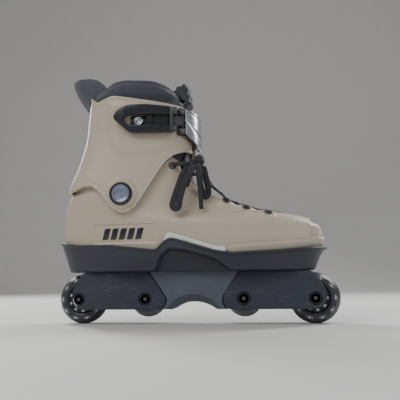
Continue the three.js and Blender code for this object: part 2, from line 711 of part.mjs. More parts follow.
add("buckle_base", buckleBase(), blackPlastic, boot);
add("buckle_lever", buckleLever(), blackPlastic, boot);
add("lever_pin", rodZ(leverPinRadius, leverPinX, leverPinY, 221.4, 249.6, 12), blackSteel, boot);
add("ladder_strap", strapBand(), blackPlastic, boot);
add("strap_shield", strapShield(), silver, boot);
add("strap_catch", strapCatch(), blackPlastic, boot);

// A screw head at x on the strap's line, on whatever stands at that offset from the cuff.
function screwHead(radius, x, side, offset, thickness) {
  const seat = sideOf(widest, x - radius, x + radius, -offset, Math.max) + gap;
  return rodY(radius, x, (strap.low + strap.high) / 2, ...spanOf(side, seat, seat + thickness));
}

add("buckle_screw", screwHead(4.6, -60, -1, baseTop, 2.6), silver, boot);
add("strap_anchor_screw", screwHead(4.2, -44, 1, strapNear + strap.thickness, 2.2), silver, boot);

// ---- laces ----
// The held lace zigzags up the throat just above the tongue.
function tube(points, radius, sides, steps) {
  const shape = new THREE.Shape();
  shape.absarc(0, 0, radius, 0, 2 * Math.PI, false);
  const section = new THREE.Shape(shape.getPoints(sides).slice(0, sides));
  const path = new THREE.CatmullRomCurve3(points.map((p) => new THREE.Vector3(...p)));
  return new THREE.ExtrudeGeometry(section, { steps, extrudePath: path, bevelEnabled: false });
}

function lattice() {
  const lift = laceRadius + gap + 0.6;
  const reach = throatHalf - laceRadius - 2;
  const points = [];
  tongueLowTop.slice(1, 7).forEach(([x, z], i) => {
    const side = i % 2 ? 1 : -1;
    points.push([x + lift * 0.7, side * reach, z + lift], [x + lift * 0.7 - 3, side * reach, z + lift + 2]);
  });
  points.push([0.5, -4, 193], [7.5, -18.3, 190.3]);
  return tube(points, laceRadius, 6, 44);
}

const knot = { x: 8.5, y: -27, z: 189, reach: [6.6, 8.6, 7.2] };

function laceKnot() {
  const geometry = new THREE.SphereGeometry(1, 12, 8);
  geometry.scale(...knot.reach);
  geometry.translate(knot.x, knot.y, knot.z);
  return solid(geometry);
}

const bowCords = {
  lace_loop_rear: [[1.2, -28.5, 185.6], [-3.5, -35, 180], [-8, -43.5, 170], [-12, -46.5, 158],
    [-17, -47, 144],
    [-19.5, -47.5, 135], [-17, -48, 130.8], [-12.5, -48.5, 132], [-10.5, -49, 142], [-6, -49, 157],
    [-1, -47, 168], [2.5, -41.5, 178], [4, -35.5, 184.2]],
  lace_loop_front: [[9, -29, 181.6], [9.5, -32, 174], [10, -34.5, 165], [11.5, -35.5, 156],
    [13.5, -34.5, 148.5],
    [16.5, -33, 145], [19.5, -31.5, 148.5], [19, -30, 157], [17, -28.5, 166], [15, -27, 175], [13, -25, 182]],
  lace_end_rear: [[4, -29.5, 181.6], [1, -32.5, 175], [-2, -35.5, 166], [-5, -37.5, 156.5]],
  lace_end_front: [[9.2, -36, 183.6], [9.5, -39.5, 176], [10, -41, 165], [11, -41.5, 153], [12, -40.5, 141],
    [12.3, -38.8, 130]],
};
const bowSteps = { lace_loop_rear: 18, lace_loop_front: 14, lace_end_rear: 5, lace_end_front: 8 };

add("lace_lattice", lattice(), laceFabric, boot);
add("lace_knot", laceKnot(), laceFabric, boot);
for (const [name, points] of Object.entries(bowCords)) {
  add(name, tube(points, laceRadius, 8, bowSteps[name]), laceFabric, boot);
}

export default skate;
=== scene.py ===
# A plastic inline skate for street skating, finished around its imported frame.
# Points and sizes are written in millimetres, and every mesh is made in metres.
# X runs to the toe, -Y is the outer side of the foot and Z is up from the ground.
import math

import bpy
import numpy as np
from mathutils import Matrix, Vector


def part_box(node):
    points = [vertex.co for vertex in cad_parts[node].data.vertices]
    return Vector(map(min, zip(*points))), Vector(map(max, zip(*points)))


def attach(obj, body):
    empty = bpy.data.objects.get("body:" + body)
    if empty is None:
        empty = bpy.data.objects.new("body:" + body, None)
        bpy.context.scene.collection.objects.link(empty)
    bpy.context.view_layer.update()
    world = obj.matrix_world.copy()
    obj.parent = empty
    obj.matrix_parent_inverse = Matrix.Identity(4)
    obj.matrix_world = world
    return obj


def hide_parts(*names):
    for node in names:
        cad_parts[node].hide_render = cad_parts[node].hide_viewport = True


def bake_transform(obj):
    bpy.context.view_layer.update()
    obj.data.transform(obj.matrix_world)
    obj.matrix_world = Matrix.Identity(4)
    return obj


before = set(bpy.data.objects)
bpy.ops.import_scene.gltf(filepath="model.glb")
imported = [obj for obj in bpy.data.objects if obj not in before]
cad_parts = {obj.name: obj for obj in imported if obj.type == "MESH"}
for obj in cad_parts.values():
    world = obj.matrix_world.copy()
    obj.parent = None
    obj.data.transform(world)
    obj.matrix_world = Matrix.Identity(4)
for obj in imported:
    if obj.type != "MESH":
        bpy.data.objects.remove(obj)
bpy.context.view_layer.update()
MM = 0.001


# ---- camera, room and light ----
def add_camera():
    """Close to the ground beside the skate, looking a little up at the boot."""
    azimuth, elevation, roll = (math.radians(angle) for angle in (7.97, -7.95, -0.63))
    ahead = Vector((-math.sin(azimuth) * math.cos(elevation), math.cos(azimuth) * math.cos(elevation),
                    -math.sin(elevation)))
    level = Vector((math.cos(azimuth), math.sin(azimuth), 0))
    upright = level.cross(ahead)
    right = math.cos(roll) * level + math.sin(roll) * upright
    up = math.cos(roll) * upright - math.sin(roll) * level
    bpy.ops.object.camera_add()
    camera = bpy.context.object
    camera.matrix_world = (Matrix.Translation(Vector((99.7, -673.3, 51.09)) * MM)
                           @ Matrix((right, up, -ahead)).transposed().to_4x4())
    camera.data.lens = 51.06
    bpy.context.scene.camera = camera


def add_light(place, target, size, power, colour=(1, 1, 1)):
    bpy.ops.object.light_add(type="AREA", location=place)
    light = bpy.context.object
    light.rotation_euler = (Vector(target) - Vector(place)).to_track_quat("-Z", "Y").to_euler()
    light.data.shape = "RECTANGLE"
    light.data.size, light.data.size_y = size
    light.data.energy = power
    light.data.color = colour


def add_lights():
    """A broad soft key from the front, and two long strips above and behind that edge the boot."""
    add_light((-0.9, -1.3, 1.5), (0, 0, 0.15), (1.3, 1.0), 21, (1, 0.985, 0.96))
    add_light((1.2, -1.1, 0.7), (0, 0, 0.12), (0.9, 0.9), 4.5, (0.93, 0.96, 1))
    add_light((-0.75, 0.75, 0.95), (-0.1, 0, 0.18), (0.25, 0.9), 15)
    add_light((0.85, 0.7, 0.95), (0.05, 0, 0.15), (0.25, 0.9), 13)
    world = bpy.data.worlds.new("studio")
    bpy.context.scene.world = world
    world.use_nodes = True
    world.node_tree.nodes["Background"].inputs["Color"].default_value = (0.74, 0.745, 0.76, 1)
    world.node_tree.nodes["Background"].inputs["Strength"].default_value = 0.42


# ---- shader maths ----
class Wire:
    """A number somewhere in a material. Arithmetic on it adds the nodes."""

    def __init__(self, finish, socket):
        self.finish, self.socket = finish, socket

    def _maths(self, operation, *values):
        return self.finish.node("ShaderNodeMath", {"operation": operation}, dict(enumerate(values)))

    def __add__(self, other):
        return self._maths("ADD", self, other)

    def __sub__(self, other):
        return self._maths("SUBTRACT", self, other)

    def __rsub__(self, other):
        return self._maths("SUBTRACT", other, self)

    def __mul__(self, other):
        return self._maths("MULTIPLY", self, other)

    def __truediv__(self, other):
        return self._maths("DIVIDE", self, other)

    def __lt__(self, other):
        return self._maths("LESS_THAN", self, other)

    def __gt__(self, other):
        return self._maths("GREATER_THAN", self, other)

    def __pow__(self, other):
        return self._maths("POWER", self, other)

    __radd__ = __add__
    __rmul__ = __mul__

    def size(self):
        return self._maths("ABSOLUTE", self)

    def ramp(self, low, high):
        """0 below low, 1 above high and smooth between them."""
        return self.finish.node("ShaderNodeMapRange", {"interpolation_type": "SMOOTHSTEP"},
                                {"Value": self, "From Min": low, "From Max": high})


class Finish:
    """A material: a principled shader, and one method that adds any other node."""

    def __init__(self, name, colour, roughness, metallic=0.0, **constants):
        self.material = bpy.data.materials.new(name)
        self.material.use_nodes = True
        self.material.diffuse_color = (*colour, 1)
        self.tree = self.material.node_tree
        self.shader = self.tree.nodes["Principled BSDF"]
        self.colour = (*colour, 1)
        self.set("Base Color", self.colour)
        self.set("Roughness", roughness)
        self.set("Metallic", metallic)
        for key, value in constants.items():
            self.set(key.replace("_", " ").title().replace("Ior", "IOR"), value)

    def set(self, socket, value):
        self._feed(self.shader.inputs[socket], value)

    def _feed(self, socket, value):
        if isinstance(value, Wire):
            self.tree.links.new(value.socket, socket)
        else:
            socket.default_value = value

    def node(self, kind, settings=None, values=None, output=0):
        made = self.tree.nodes.new(kind)
        for key, value in (settings or {}).items():
            setattr(made, key, value)
        for key, value in (values or {}).items():
            self._feed(made.inputs[key], value)
        return Wire(self, made.outputs[output])

    def place(self, stretch=(1, 1, 1), centre=(0, 0, 0), turn=(0, 0, 0)):
        """Object coordinates in millimetres, moved to a centre, turned and stretched."""
        where = self.node("ShaderNodeTexCoord", output="Object")
        moved = self.node("ShaderNodeVectorMath", {"operation": "SUBTRACT"},
                          {0: where, 1: tuple(c * MM for c in centre)})
        return self.node("ShaderNodeMapping", values={
            "Vector": moved, "Rotation": turn, "Scale": tuple(s / MM for s in stretch)})

    def axes(self, **where):
        split = self.node("ShaderNodeSeparateXYZ", values={0: self.place(**where)})
        return [split] + [Wire(self, split.socket.node.outputs[i]) for i in (1, 2)]

    def noise(self, size, detail=3, roughness=0.5, stretch=(1, 1, 1), **where):
        """Cloudy noise with lumps about that many millimetres across."""
        return self.node("ShaderNodeTexNoise", values={
            "Vector": self.place(stretch, **where), "Scale": 1 / size,
            "Detail": detail, "Roughness": roughness})

    def mix(self, share, first, second):
        return self.node("ShaderNodeMixRGB", values={"Fac": share, "Color1": first, "Color2": second})

    def bump(self, height, depth, strength=1.0):
        """Raises the surface by height times depth, in millimetres."""
        self.set("Normal", self.node("ShaderNodeBump", values={
            "Height": height, "Distance": depth * MM, "Strength": strength}))

    def tint(self, share, colour):
        """Lays a colour over what is there, by a share that changes over the surface."""
        base = self.shader.inputs["Base Color"]
        below = Wire(self, base.links[0].from_socket) if base.links else tuple(base.default_value)
        self.set("Base Color", self.mix(share, below, (*colour, 1)))


def lighter(colour, by):
    return tuple(min(1, c * by) for c in colour)


# ---- finishes ----
def moulded(name, colour, roughness, grain=0.03, mottle=0.05):
    """Satin moulded plastic: a fine skin, slow changes in shade and faint rubbed patches."""
    finish = Finish(name, colour, roughness, specular_ior_level=0.5)
    cloud = finish.noise(45, 4, 0.6)
    finish.tint(cloud.ramp(0.35, 0.75) * (mottle * 6), lighter(colour, 1 - mottle))
    rubbed = finish.noise(9, 5, 0.65, stretch=(0.5, 1, 1)).ramp(0.56, 0.8)
    finish.set("Roughness", cloud * 0.12 + rubbed * 0.08 + (roughness - 0.07))
    finish.bump(finish.noise(0.55, 2) + finish.noise(14, 2) * 1.5, grain)
    return finish


def scuffed(name, colour, scuff_colour, roughness, amount):
    """Hard plastic that has been slid on: long pale streaks, dull patches and fine scratches."""
    finish = Finish(name, colour, roughness, specular_ior_level=0.45)
    cloud = finish.noise(22, 4, 0.6)
    streaks = finish.noise(2.4, 6, 0.7, stretch=(0.09, 1, 1), turn=(0, 0.05, 0)).ramp(0.52, 0.78)
    scratches = finish.noise(0.8, 3, 0.6, stretch=(0.03, 1, 1), turn=(0, -0.12, 0)).ramp(0.6, 0.7)
    worn = cloud.ramp(0.38, 0.68)
    finish.tint(worn * streaks * amount, scuff_colour)
    finish.tint(scratches * worn * (amount * 0.6), lighter(scuff_colour, 1.25))
    finish.set("Roughness", streaks * 0.14 + cloud * 0.12 + (roughness - 0.1))
    finish.bump(finish.noise(0.7, 2) * 0.5 + scratches * -0.6 + streaks * -0.3, 0.06)
    return finish


def woven(name, colour, pitch, roughness=0.85, depth=0.16, **constants):
    """Close woven fabric: two crossing sets of threads, fuzz and slow changes of shade."""
    finish = Finish(name, colour, roughness, **constants)
    waves = [finish.node("ShaderNodeTexWave", {"bands_direction": axis}, {
        "Vector": finish.place(turn=(0.35, 0.25, 0.3)), "Scale": 0.31 / pitch, "Distortion": 1.2,
        "Detail": 1}, output=1) for axis in "XYZ"]
    weave = waves[0] * waves[2] + waves[1] * 0.5
    finish.tint(weave * 0.5, lighter(colour, 1.7))
    finish.tint(finish.noise(16, 3).ramp(0.4, 0.75) * 0.45, lighter(colour, 0.55))
    finish.bump(weave + finish.noise(0.4, 2) * 0.6 + finish.noise(7, 2) * 2, depth)
    return finish


def urethane(name, colour, radius, centre, marked):
    """Cast wheel urethane: a matt tread, a glossy flank and pale generic dashes."""
    finish = Finish(name, colour, 0.42, specular_ior_level=0.5)
    x, y, z = finish.axes(centre=centre)
    from_axle = (x * x + z * z) ** 0.5
    tread = from_axle.ramp(radius - 1.5, radius - 0.4)
    dust = finish.noise(3, 4, 0.7).ramp(0.45, 0.8)
    finish.tint(tread * dust * 0.5, (0.3, 0.29, 0.28))
    if marked:
        turn = finish.node("ShaderNodeMath", {"operation": "ARCTAN2"}, {0: z, 1: x}) / (2 * math.pi)
        beat = finish.node("ShaderNodeMath", {"operation": "FRACT"}, {0: turn * 10 + 10.2})
        broken = finish.node("ShaderNodeMath", {"operation": "FRACT"}, {0: turn * 40 + 40.3})
        band = (from_axle > radius - 7.4) * (from_axle < radius - 5)
        finish.tint(band * (beat < 0.42) * (broken < 0.62) * (y.size() > 8) * 0.8, (0.62, 0.64, 0.66))
    finish.set("Roughness", tread * 0.25 + dust * 0.12 + 0.34)
    finish.bump(dust * tread + finish.noise(0.8, 2) * 0.3, 0.08)
    return finish


def bright(name, colour, roughness, brushed=(1, 1, 0.05), metallic=1.0):
    """Metal with a brushed grain and a little haze."""
    finish = Finish(name, colour, roughness, metallic)
    grain = finish.noise(0.5, 3, 0.6, stretch=brushed)
    haze = finish.noise(6, 3).ramp(0.4, 0.8)
    finish.tint(haze * 0.3, lighter(colour, 0.75))
    finish.set("Roughness", grain * 0.14 + haze * 0.08 + (roughness - 0.07))
    finish.bump(grain, 0.02)
    return finish


def button_finish():
    """Blue-grey pressed face with a fine cross-hatched grain."""
    finish = Finish("button", (0.17, 0.2, 0.285), 0.3, 0.35)
    grain = finish.noise(0.35, 2, stretch=(0.12, 1, 1)) * finish.noise(0.35, 2, stretch=(1, 1, 0.12))
    finish.tint(finish.noise(5, 3).ramp(0.35, 0.75) * 0.6, (0.29, 0.33, 0.43))
    finish.bump(grain, 0.1)
    return finish


def laced(name, colour):
    """Flat braided lace: a herringbone of threads along its own length."""
    finish = Finish(name, colour, 0.8, sheen_weight=0.15)
    where = finish.node("ShaderNodeUVMap")
    split = finish.node("ShaderNodeSeparateXYZ", values={0: where})
    across = Wire(finish, split.socket.node.outputs[1])
    chevron = (across * 4).size()
    braid = finish.node("ShaderNodeMath", {"operation": "SINE"}, {0: split * 620 + chevron * 3})
    finish.tint((braid * 0.5 + 0.5) * 0.6, lighter(colour, 2.6))
    finish.bump(braid + finish.noise(0.4, 2), 0.12)
    return finish


SAND = moulded("sand_shell", (0.475, 0.415, 0.325), 0.42)
SOLE = scuffed("dark_sole", (0.031, 0.036, 0.048), (0.11, 0.12, 0.14), 0.52, 0.35)
BLOCK_GREY = scuffed("block", (0.082, 0.095, 0.125), (0.25, 0.27, 0.31), 0.46, 0.6)
PLATE = scuffed("side_plate", (0.03, 0.035, 0.052), (0.16, 0.18, 0.22), 0.42, 0.75)
WHITE = moulded("white_shim", (0.72, 0.72, 0.7), 0.38)
LINER = woven("liner", (0.03, 0.034, 0.052), 0.7, 0.66, sheen_weight=0.35)
TONGUE_FABRIC = woven("tongue", (0.018, 0.02, 0.028), 0.7, 0.4)
PADDING = woven("foam", (0.035, 0.035, 0.038), 1.1, 0.95, 0.25)
BLACK = moulded("black_plastic", (0.011, 0.011, 0.013), 0.34, 0.05)
GLOSS = moulded("glossy_trim", (0.02, 0.021, 0.029), 0.2, 0.03)
BUTTON = button_finish()
SILVER = bright("silver", (0.46, 0.48, 0.53), 0.24)
HUB = moulded("hub", (0.022, 0.024, 0.031), 0.3)
SPOKE = bright("spoke", (0.5, 0.53, 0.6), 0.3, (1, 1, 1), 0.85)
STEEL = bright("steel", (0.5, 0.51, 0.53), 0.3)
BLACK_STEEL = bright("black_steel", (0.1, 0.1, 0.112), 0.34, (1, 1, 1), 0.8)
LACE = laced("lace", (0.012, 0.012, 0.016))


# ---- shapes ----
def pick_only(piece):
    bpy.ops.object.select_all(action="DESELECT")
    piece.select_set(True)
    bpy.context.view_layer.objects.active = piece


def edit(piece, *steps):
    """Runs edit-mode steps on a piece with everything in it selected."""
    pick_only(piece)
    bpy.ops.object.mode_set(mode="EDIT")
    bpy.ops.mesh.select_all(action="SELECT")
    for step in steps:
        step()
    bpy.ops.object.mode_set(mode="OBJECT")


def modify(piece, kind, **settings):
    pick_only(piece)
    modifier = piece.modifiers.new(kind.title(), kind)
    for key, value in settings.items():
        setattr(modifier, key, value)
    bpy.ops.object.modifier_apply(modifier=modifier.name)


def soften(piece, width, segments=2, angle=30):
    """Rounds the edges sharper than an angle."""
    modify(piece, "BEVEL", width=width * MM, segments=segments, limit_method="ANGLE",
           angle_limit=math.radians(angle), harden_normals=False)


def smooth(piece, angle=35):
    pick_only(piece)
    bpy.ops.object.shade_smooth_by_angle(angle=math.radians(angle))


def closed(piece):
    """Merges doubled points and turns every face outwards."""
    edit(piece, lambda: bpy.ops.mesh.remove_doubles(threshold=0.00001),
         lambda: bpy.ops.mesh.normals_make_consistent(inside=False))


def settle(piece):
    """Leaves a piece's place in its mesh."""
    pick_only(piece)
    bpy.ops.object.transform_apply(location=True, rotation=True, scale=True)


def named(piece, name, finish):
    piece.name = piece.data.name = name
    piece.data.materials.clear()
    piece.data.materials.append(finish.material)
    return piece


def done(piece, body, slot, *nodes):
    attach(piece, body)
    if nodes:
        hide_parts(*nodes)
    return piece


def cut(piece, *tools, operation="DIFFERENCE"):
    for tool in tools:
        modify(piece, "BOOLEAN", operation=operation, solver="EXACT", object=tool)
        bpy.data.objects.remove(tool)


def copy_of(piece, name, move=(0, 0, 0), mirror=False):
    """A copy with its own mesh, moved, or mirrored to the other side of the skate."""
    made = piece.copy()
    made.data = piece.data.copy()
    bpy.context.scene.collection.objects.link(made)
    made.name = made.data.name = name
    made.data.transform(Matrix.Translation(Vector(move) * MM))
    if mirror:
        made.data.transform(Matrix.Scale(-1, 4, (0, 1, 0)))
        closed(made)
    return made


def joined(name, pieces):
    bpy.ops.object.select_all(action="DESELECT")
    for piece in pieces:
        piece.select_set(True)
    bpy.context.view_layer.objects.active = pieces[0]
    bpy.ops.object.join()
    pieces[0].name = pieces[0].data.name = name
    return pieces[0]


def laid(points):
    """A grid of faces through rows of points, facing the side that its rows and columns turn to."""
    rows, columns = points.shape[:2]
    bpy.ops.object.select_all(action="DESELECT")
    bpy.ops.mesh.primitive_grid_add(x_subdivisions=columns - 1, y_subdivisions=rows - 1)
    piece = bpy.context.object
    piece.data.vertices.foreach_set("co", (points * MM).astype(np.float32).ravel())
    piece.data.update()
    return piece


def outlined(points, y0, y1):
    """A plate with an outline drawn in X and Z, from y0 to y1."""
    bpy.ops.object.select_all(action="DESELECT")
    bpy.ops.mesh.primitive_circle_add(vertices=len(points), fill_type="NGON")
    piece = bpy.context.object
    for vertex, (x, z) in zip(piece.data.vertices, points):
        vertex.co = Vector((x, y0, z)) * MM
    move = {"value": (0, (y1 - y0) * MM, 0)}
    edit(piece, lambda: bpy.ops.mesh.extrude_region_move(TRANSFORM_OT_translate=move),
         lambda: bpy.ops.mesh.select_all(action="SELECT"),
         lambda: bpy.ops.mesh.normals_make_consistent(inside=False))
    return piece


def rounded(points, radius, steps=5):
    """An outline with each corner turned into an arc."""
    made = []
    for i, corner in enumerate(points):
        here = Vector(corner)
        before, after = Vector(points[i - 1]), Vector(points[(i + 1) % len(points)])
        reach = min(radius, (before - here).length * 0.45, (after - here).length * 0.45)
        start = here + (before - here).normalized() * reach
        end = here + (after - here).normalized() * reach
        for k in range(steps + 1):
            t = k / steps
            made.append(tuple((1 - t) ** 2 * start + 2 * t * (1 - t) * here + t * t * end))
    return made


def rod(radius, x, z, y0, y1, sides=32):
    """A round bar along Y."""
    bpy.ops.object.select_all(action="DESELECT")
    bpy.ops.mesh.primitive_cylinder_add(vertices=sides, radius=radius * MM, depth=abs(y1 - y0) * MM,
                                        location=Vector((x, (y0 + y1) / 2, z)) * MM,
                                        rotation=(math.pi / 2, 0, 0))
    piece = bpy.context.object
    settle(piece)
    return piece


def turned(profile, x, z, steps=64):
    """A closed profile of radius and Y, spun about an axle at x and z."""
    bpy.ops.object.select_all(action="DESELECT")
    bpy.ops.mesh.primitive_circle_add(vertices=len(profile), fill_type="NOTHING")
    piece = bpy.context.object
    for vertex, (radius, y) in zip(piece.data.vertices, profile):
        vertex.co = Vector((x, y, z + radius)) * MM
    edit(piece, lambda: bpy.ops.mesh.spin(steps=steps, angle=2 * math.pi, axis=(0, 1, 0),
                                          center=Vector((x, 0, z)) * MM))
    closed(piece)
    return piece


def ring_profile(inner, outer, low, high, round_off):
    """The section of a ring, with its four corners rounded."""
    return rounded([(inner, low), (outer, low), (outer, high), (inner, high)], round_off, 4)


def smoothstep(value, low, high):
    t = np.clip((value - low) / (high - low), 0, 1)
    return t * t * (3 - 2 * t)


def eased(line, x, width=6.0):
    """Heights along a line of points, read at x, with its corners rounded over a width."""
    line = np.array(sorted(line), float)
    offsets = np.linspace(-width / 2, width / 2, 7)
    return np.mean([np.interp(x + o, line[:, 0], line[:, 1]) for o in offsets], axis=0)


def distance(outline, x, z, loop=True):
    """How far points lie from an outline, in millimetres: more than 0 inside it if it is a loop."""
    best = np.full(np.shape(x), 1e9)
    inside = np.zeros(np.shape(x), bool)
    ends = outline[1:] + outline[:1] if loop else outline[1:]
    for (x0, z0), (x1, z1) in zip(outline, ends):
        dx, dz = x1 - x0, z1 - z0
        t = np.clip(((x - x0) * dx + (z - z0) * dz) / (dx * dx + dz * dz), 0, 1)
        best = np.minimum(best, np.hypot(x - x0 - t * dx, z - z0 - t * dz))
        if loop and dz:
            crosses = ((z0 > z) != (z1 > z)) & (x < x0 + (z - z0) * dx / dz)
            inside ^= crosses
    return np.where(inside, best, -best) if loop else best


def edge_height(height):
    """A function of x that gives an edge's height, which may come as such a function or as a number."""
    if callable(height):
        return height
    return lambda x: np.full(np.shape(x), float(height))


class Hull:
    """Rounded outlines, one at every height: the back, the front and the half width near each."""

    ROUNDNESS = 0.72

    def __init__(self, rows, easing=6.0):
        rows = np.array(rows, float)
        ends = [rows[0] - (rows[1] - rows[0]), rows[-1] + (rows[-1] - rows[-2])]
        self.rows = np.vstack([ends[0], rows, ends[1]])
        self.easing = easing
        angles = np.linspace(0, 2 * math.pi, 4001)
        middle = rows[len(rows) // 2]
        x = (middle[2] - middle[1]) / 2 * self._power(np.cos(angles))
        y = (middle[3] + middle[4]) / 2 * self._power(np.sin(angles))
        length = np.concatenate([[0], np.cumsum(np.hypot(np.diff(x), np.diff(y)))])
        self.shares, self.angles = length / length[-1], angles

    def _power(self, value):
        return np.sign(value) * np.abs(value) ** self.ROUNDNESS

    def sizes(self, z):
        offsets = np.linspace(-self.easing / 2, self.easing / 2, 7)
        heights = self.rows[:, 0]
        return [np.mean([np.interp(z + o, heights, self.rows[:, k]) for o in offsets], axis=0)
                for k in (1, 2, 3, 4)]

    def at(self, share, z, inset=0.0):
        """Points at a share of the way round from the front, past the inner side, at a height."""
        share, z = np.broadcast_arrays(np.asarray(share, float), np.asarray(z, float))
        back, front, back_half, front_half = self.sizes(z)
        angle = np.interp(share % 1.0, self.shares, self.angles)
        along = self._power(np.cos(angle))
        half = back_half + (front_half - back_half) * smoothstep(along, -0.5, 0.6) - inset
        x = (back + front) / 2 + ((front - back) / 2 - inset) * along
        return np.stack([x, half * self._power(np.sin(angle)), z], axis=-1)

    def share_at(self, x, z, inset=0.0, lateral=True):
        """The share of the way round where a side has a given x."""
        shares = np.linspace(0.5, 1, 1501) if lateral else np.linspace(0.5, 0, 1501)
        return float(np.interp(x, self.at(shares, z, inset)[:, 0], shares))

    def opening(self, z, half, end, inset=0.0):
        """The share where the edge of a slot starts, which is half wide and round at its front end."""
        shares = np.linspace(0, 0.25, 601)
        points = self.at(shares[None, :], np.asarray(z)[:, None], inset)
        x, y = points[..., 0], points[..., 1]
        half = np.reshape(half, (-1, 1))
        tip = np.clip(half ** 2 - np.clip(x - (end - half), 0, half) ** 2, 0, None)
        limit = np.where(x > end, 0, np.sqrt(tip))
        beyond = y - limit
        first = np.argmax(beyond >= 0, axis=1)
        rows = np.arange(len(first))
        before = np.maximum(first - 1, 0)
        low, high = beyond[rows, before], beyond[rows, first]
        part = np.where(first > 0, -low / np.where(high - low == 0, 1, high - low), 0)
        return shares[before] + part * (shares[1] - shares[0])

    def surface(self, shares, low, high, rows, inset=0.0, spread=None):
        """Rows of points between two edge heights, each a function of x or a number."""
        fractions = np.linspace(0, 1, rows) if spread is None else spread
        fractions = fractions[:, None]
        bottom, top = edge_height(low), edge_height(high)
        z = np.broadcast_to(bottom(np.zeros(1)), (rows, shares.shape[-1])).copy()
        shares = np.broadcast_to(shares, z.shape)
        for _ in range(12):
            x = self.at(shares, z, inset)[..., 0]
            z = 0.4 * z + 0.6 * (bottom(x) + (top(x) - bottom(x)) * fractions)
        return self.at(shares, z, inset)


def normals_of(points):
    """The outward direction at each point of a grid."""
    across, along = np.gradient(points, axis=1), np.gradient(points, axis=0)
    normal = np.cross(across, along)
    normal /= np.maximum(np.linalg.norm(normal, axis=-1, keepdims=True), 1e-9)
    return normal


def walled(name, points, wall, finish, round_off=0.9, seam=None):
    """A grid given a wall on its inner side and rounded rims. Seam rows close on themselves."""
    if seam is not None:
        middle = (points[seam, 0] + points[seam, -1]) / 2
        points[seam, 0] = points[seam, -1] = middle
    piece = laid(points)
    edit(piece, lambda: bpy.ops.mesh.remove_doubles(threshold=0.00002))
    modify(piece, "SOLIDIFY", thickness=wall * MM, offset=-1, use_even_offset=False, use_quality_normals=True)
    if round_off:
        soften(piece, round_off, 3, 50)
    smooth(piece, 40)
    return named(piece, name, finish)


# ---- the hulls of the boot ----
PIVOT = (-79.7, 149.5)
HEEL_ARC = 67.0


def heel_of(z):
    """The ankle of the shell turns inside the cuff, so its back is round about the pivot."""
    return PIVOT[0] - math.sqrt(HEEL_ARC ** 2 - (z - PIVOT[1]) ** 2)


SHELL = Hull([
    (65.8, -147, 136, 33.5, 36), (80, -154, 143.5, 39, 42.5), (90, -158.5, 149.5, 40, 45),
    (97, -159.8, 152, 40, 46), (112, -161, 147.5, 41, 45.5), (117, -161, 137.5, 41.5, 44),
    (122, -160.5, 130, 41.5, 40), (126, -160, 104, 41.5, 35), (130, -159.4, 86, 41.5, 33),
    (138, -157.5, 58, 41.5, 33), (150, -153.7, 28, 41.5, 35), (156, heel_of(156), 17, 41, 35.5),
    (165, heel_of(165), 4, 40.5, 36), (182, heel_of(182), -9, 39, 36), (201, heel_of(201), -16, 37, 35)], 5)
SOLE_HULL = Hull([(60.3, -153.6, 138.9, 35, 38), (78, -158.4, 146, 43, 46), (88, -162.2, 155.1, 46, 51),
                  (98.5, -164.9, 157.1, 47, 52.5)])
CUFF_ROWS = [
    (118, -158, -2, 46, 44), (149.5, -157, 0, 46.5, 45), (160.5, -155.6, 2, 46, 44), (185, -144.4, 2, 44, 42),
    (201, -139, 0, 43, 41), (219, -133.7, -2, 42.5, 40), (235, -131.8, -3.5, 43, 40),
    (251, -130.4, -6, 44, 40), (278, -127.3, -12, 46, 41), (306, -124, -18, 44, 41)]
CUFF = Hull(CUFF_ROWS, 14)
THROAT = {"half": 21, "end": 103}
CUFF_SLOT_HALF = 14
SHELL_WALL = CUFF_WALL = 4


# ---- laces: the free cords first ----
def curve_through(points, spacing=1.0):
    """A smooth line through points, evenly spaced."""
    points = np.array(points, float)
    padded = np.vstack([2 * points[0] - points[1], points, 2 * points[-1] - points[-2]])
    fine = []
    for a, b, c, d in zip(padded, padded[1:], padded[2:], padded[3:]):
        t = np.linspace(0, 1, 24, endpoint=False)[:, None]
        fine.append(0.5 * (2 * b + (c - a) * t + (2 * a - 5 * b + 4 * c - d) * t ** 2
                           + (3 * b - a - 3 * c + d) * t ** 3))
    fine = np.vstack(fine + [points[-1:]])
    length = np.concatenate([[0], np.cumsum(np.linalg.norm(np.diff(fine, axis=0), axis=1))])
    count = max(4, int(length[-1] / spacing) + 1)
    even = np.linspace(0, length[-1], count)
    return np.stack([np.interp(even, length, fine[:, k]) for k in range(3)], axis=1)


def unit(vectors):
    return vectors / np.maximum(np.linalg.norm(vectors, axis=-1, keepdims=True), 1e-9)


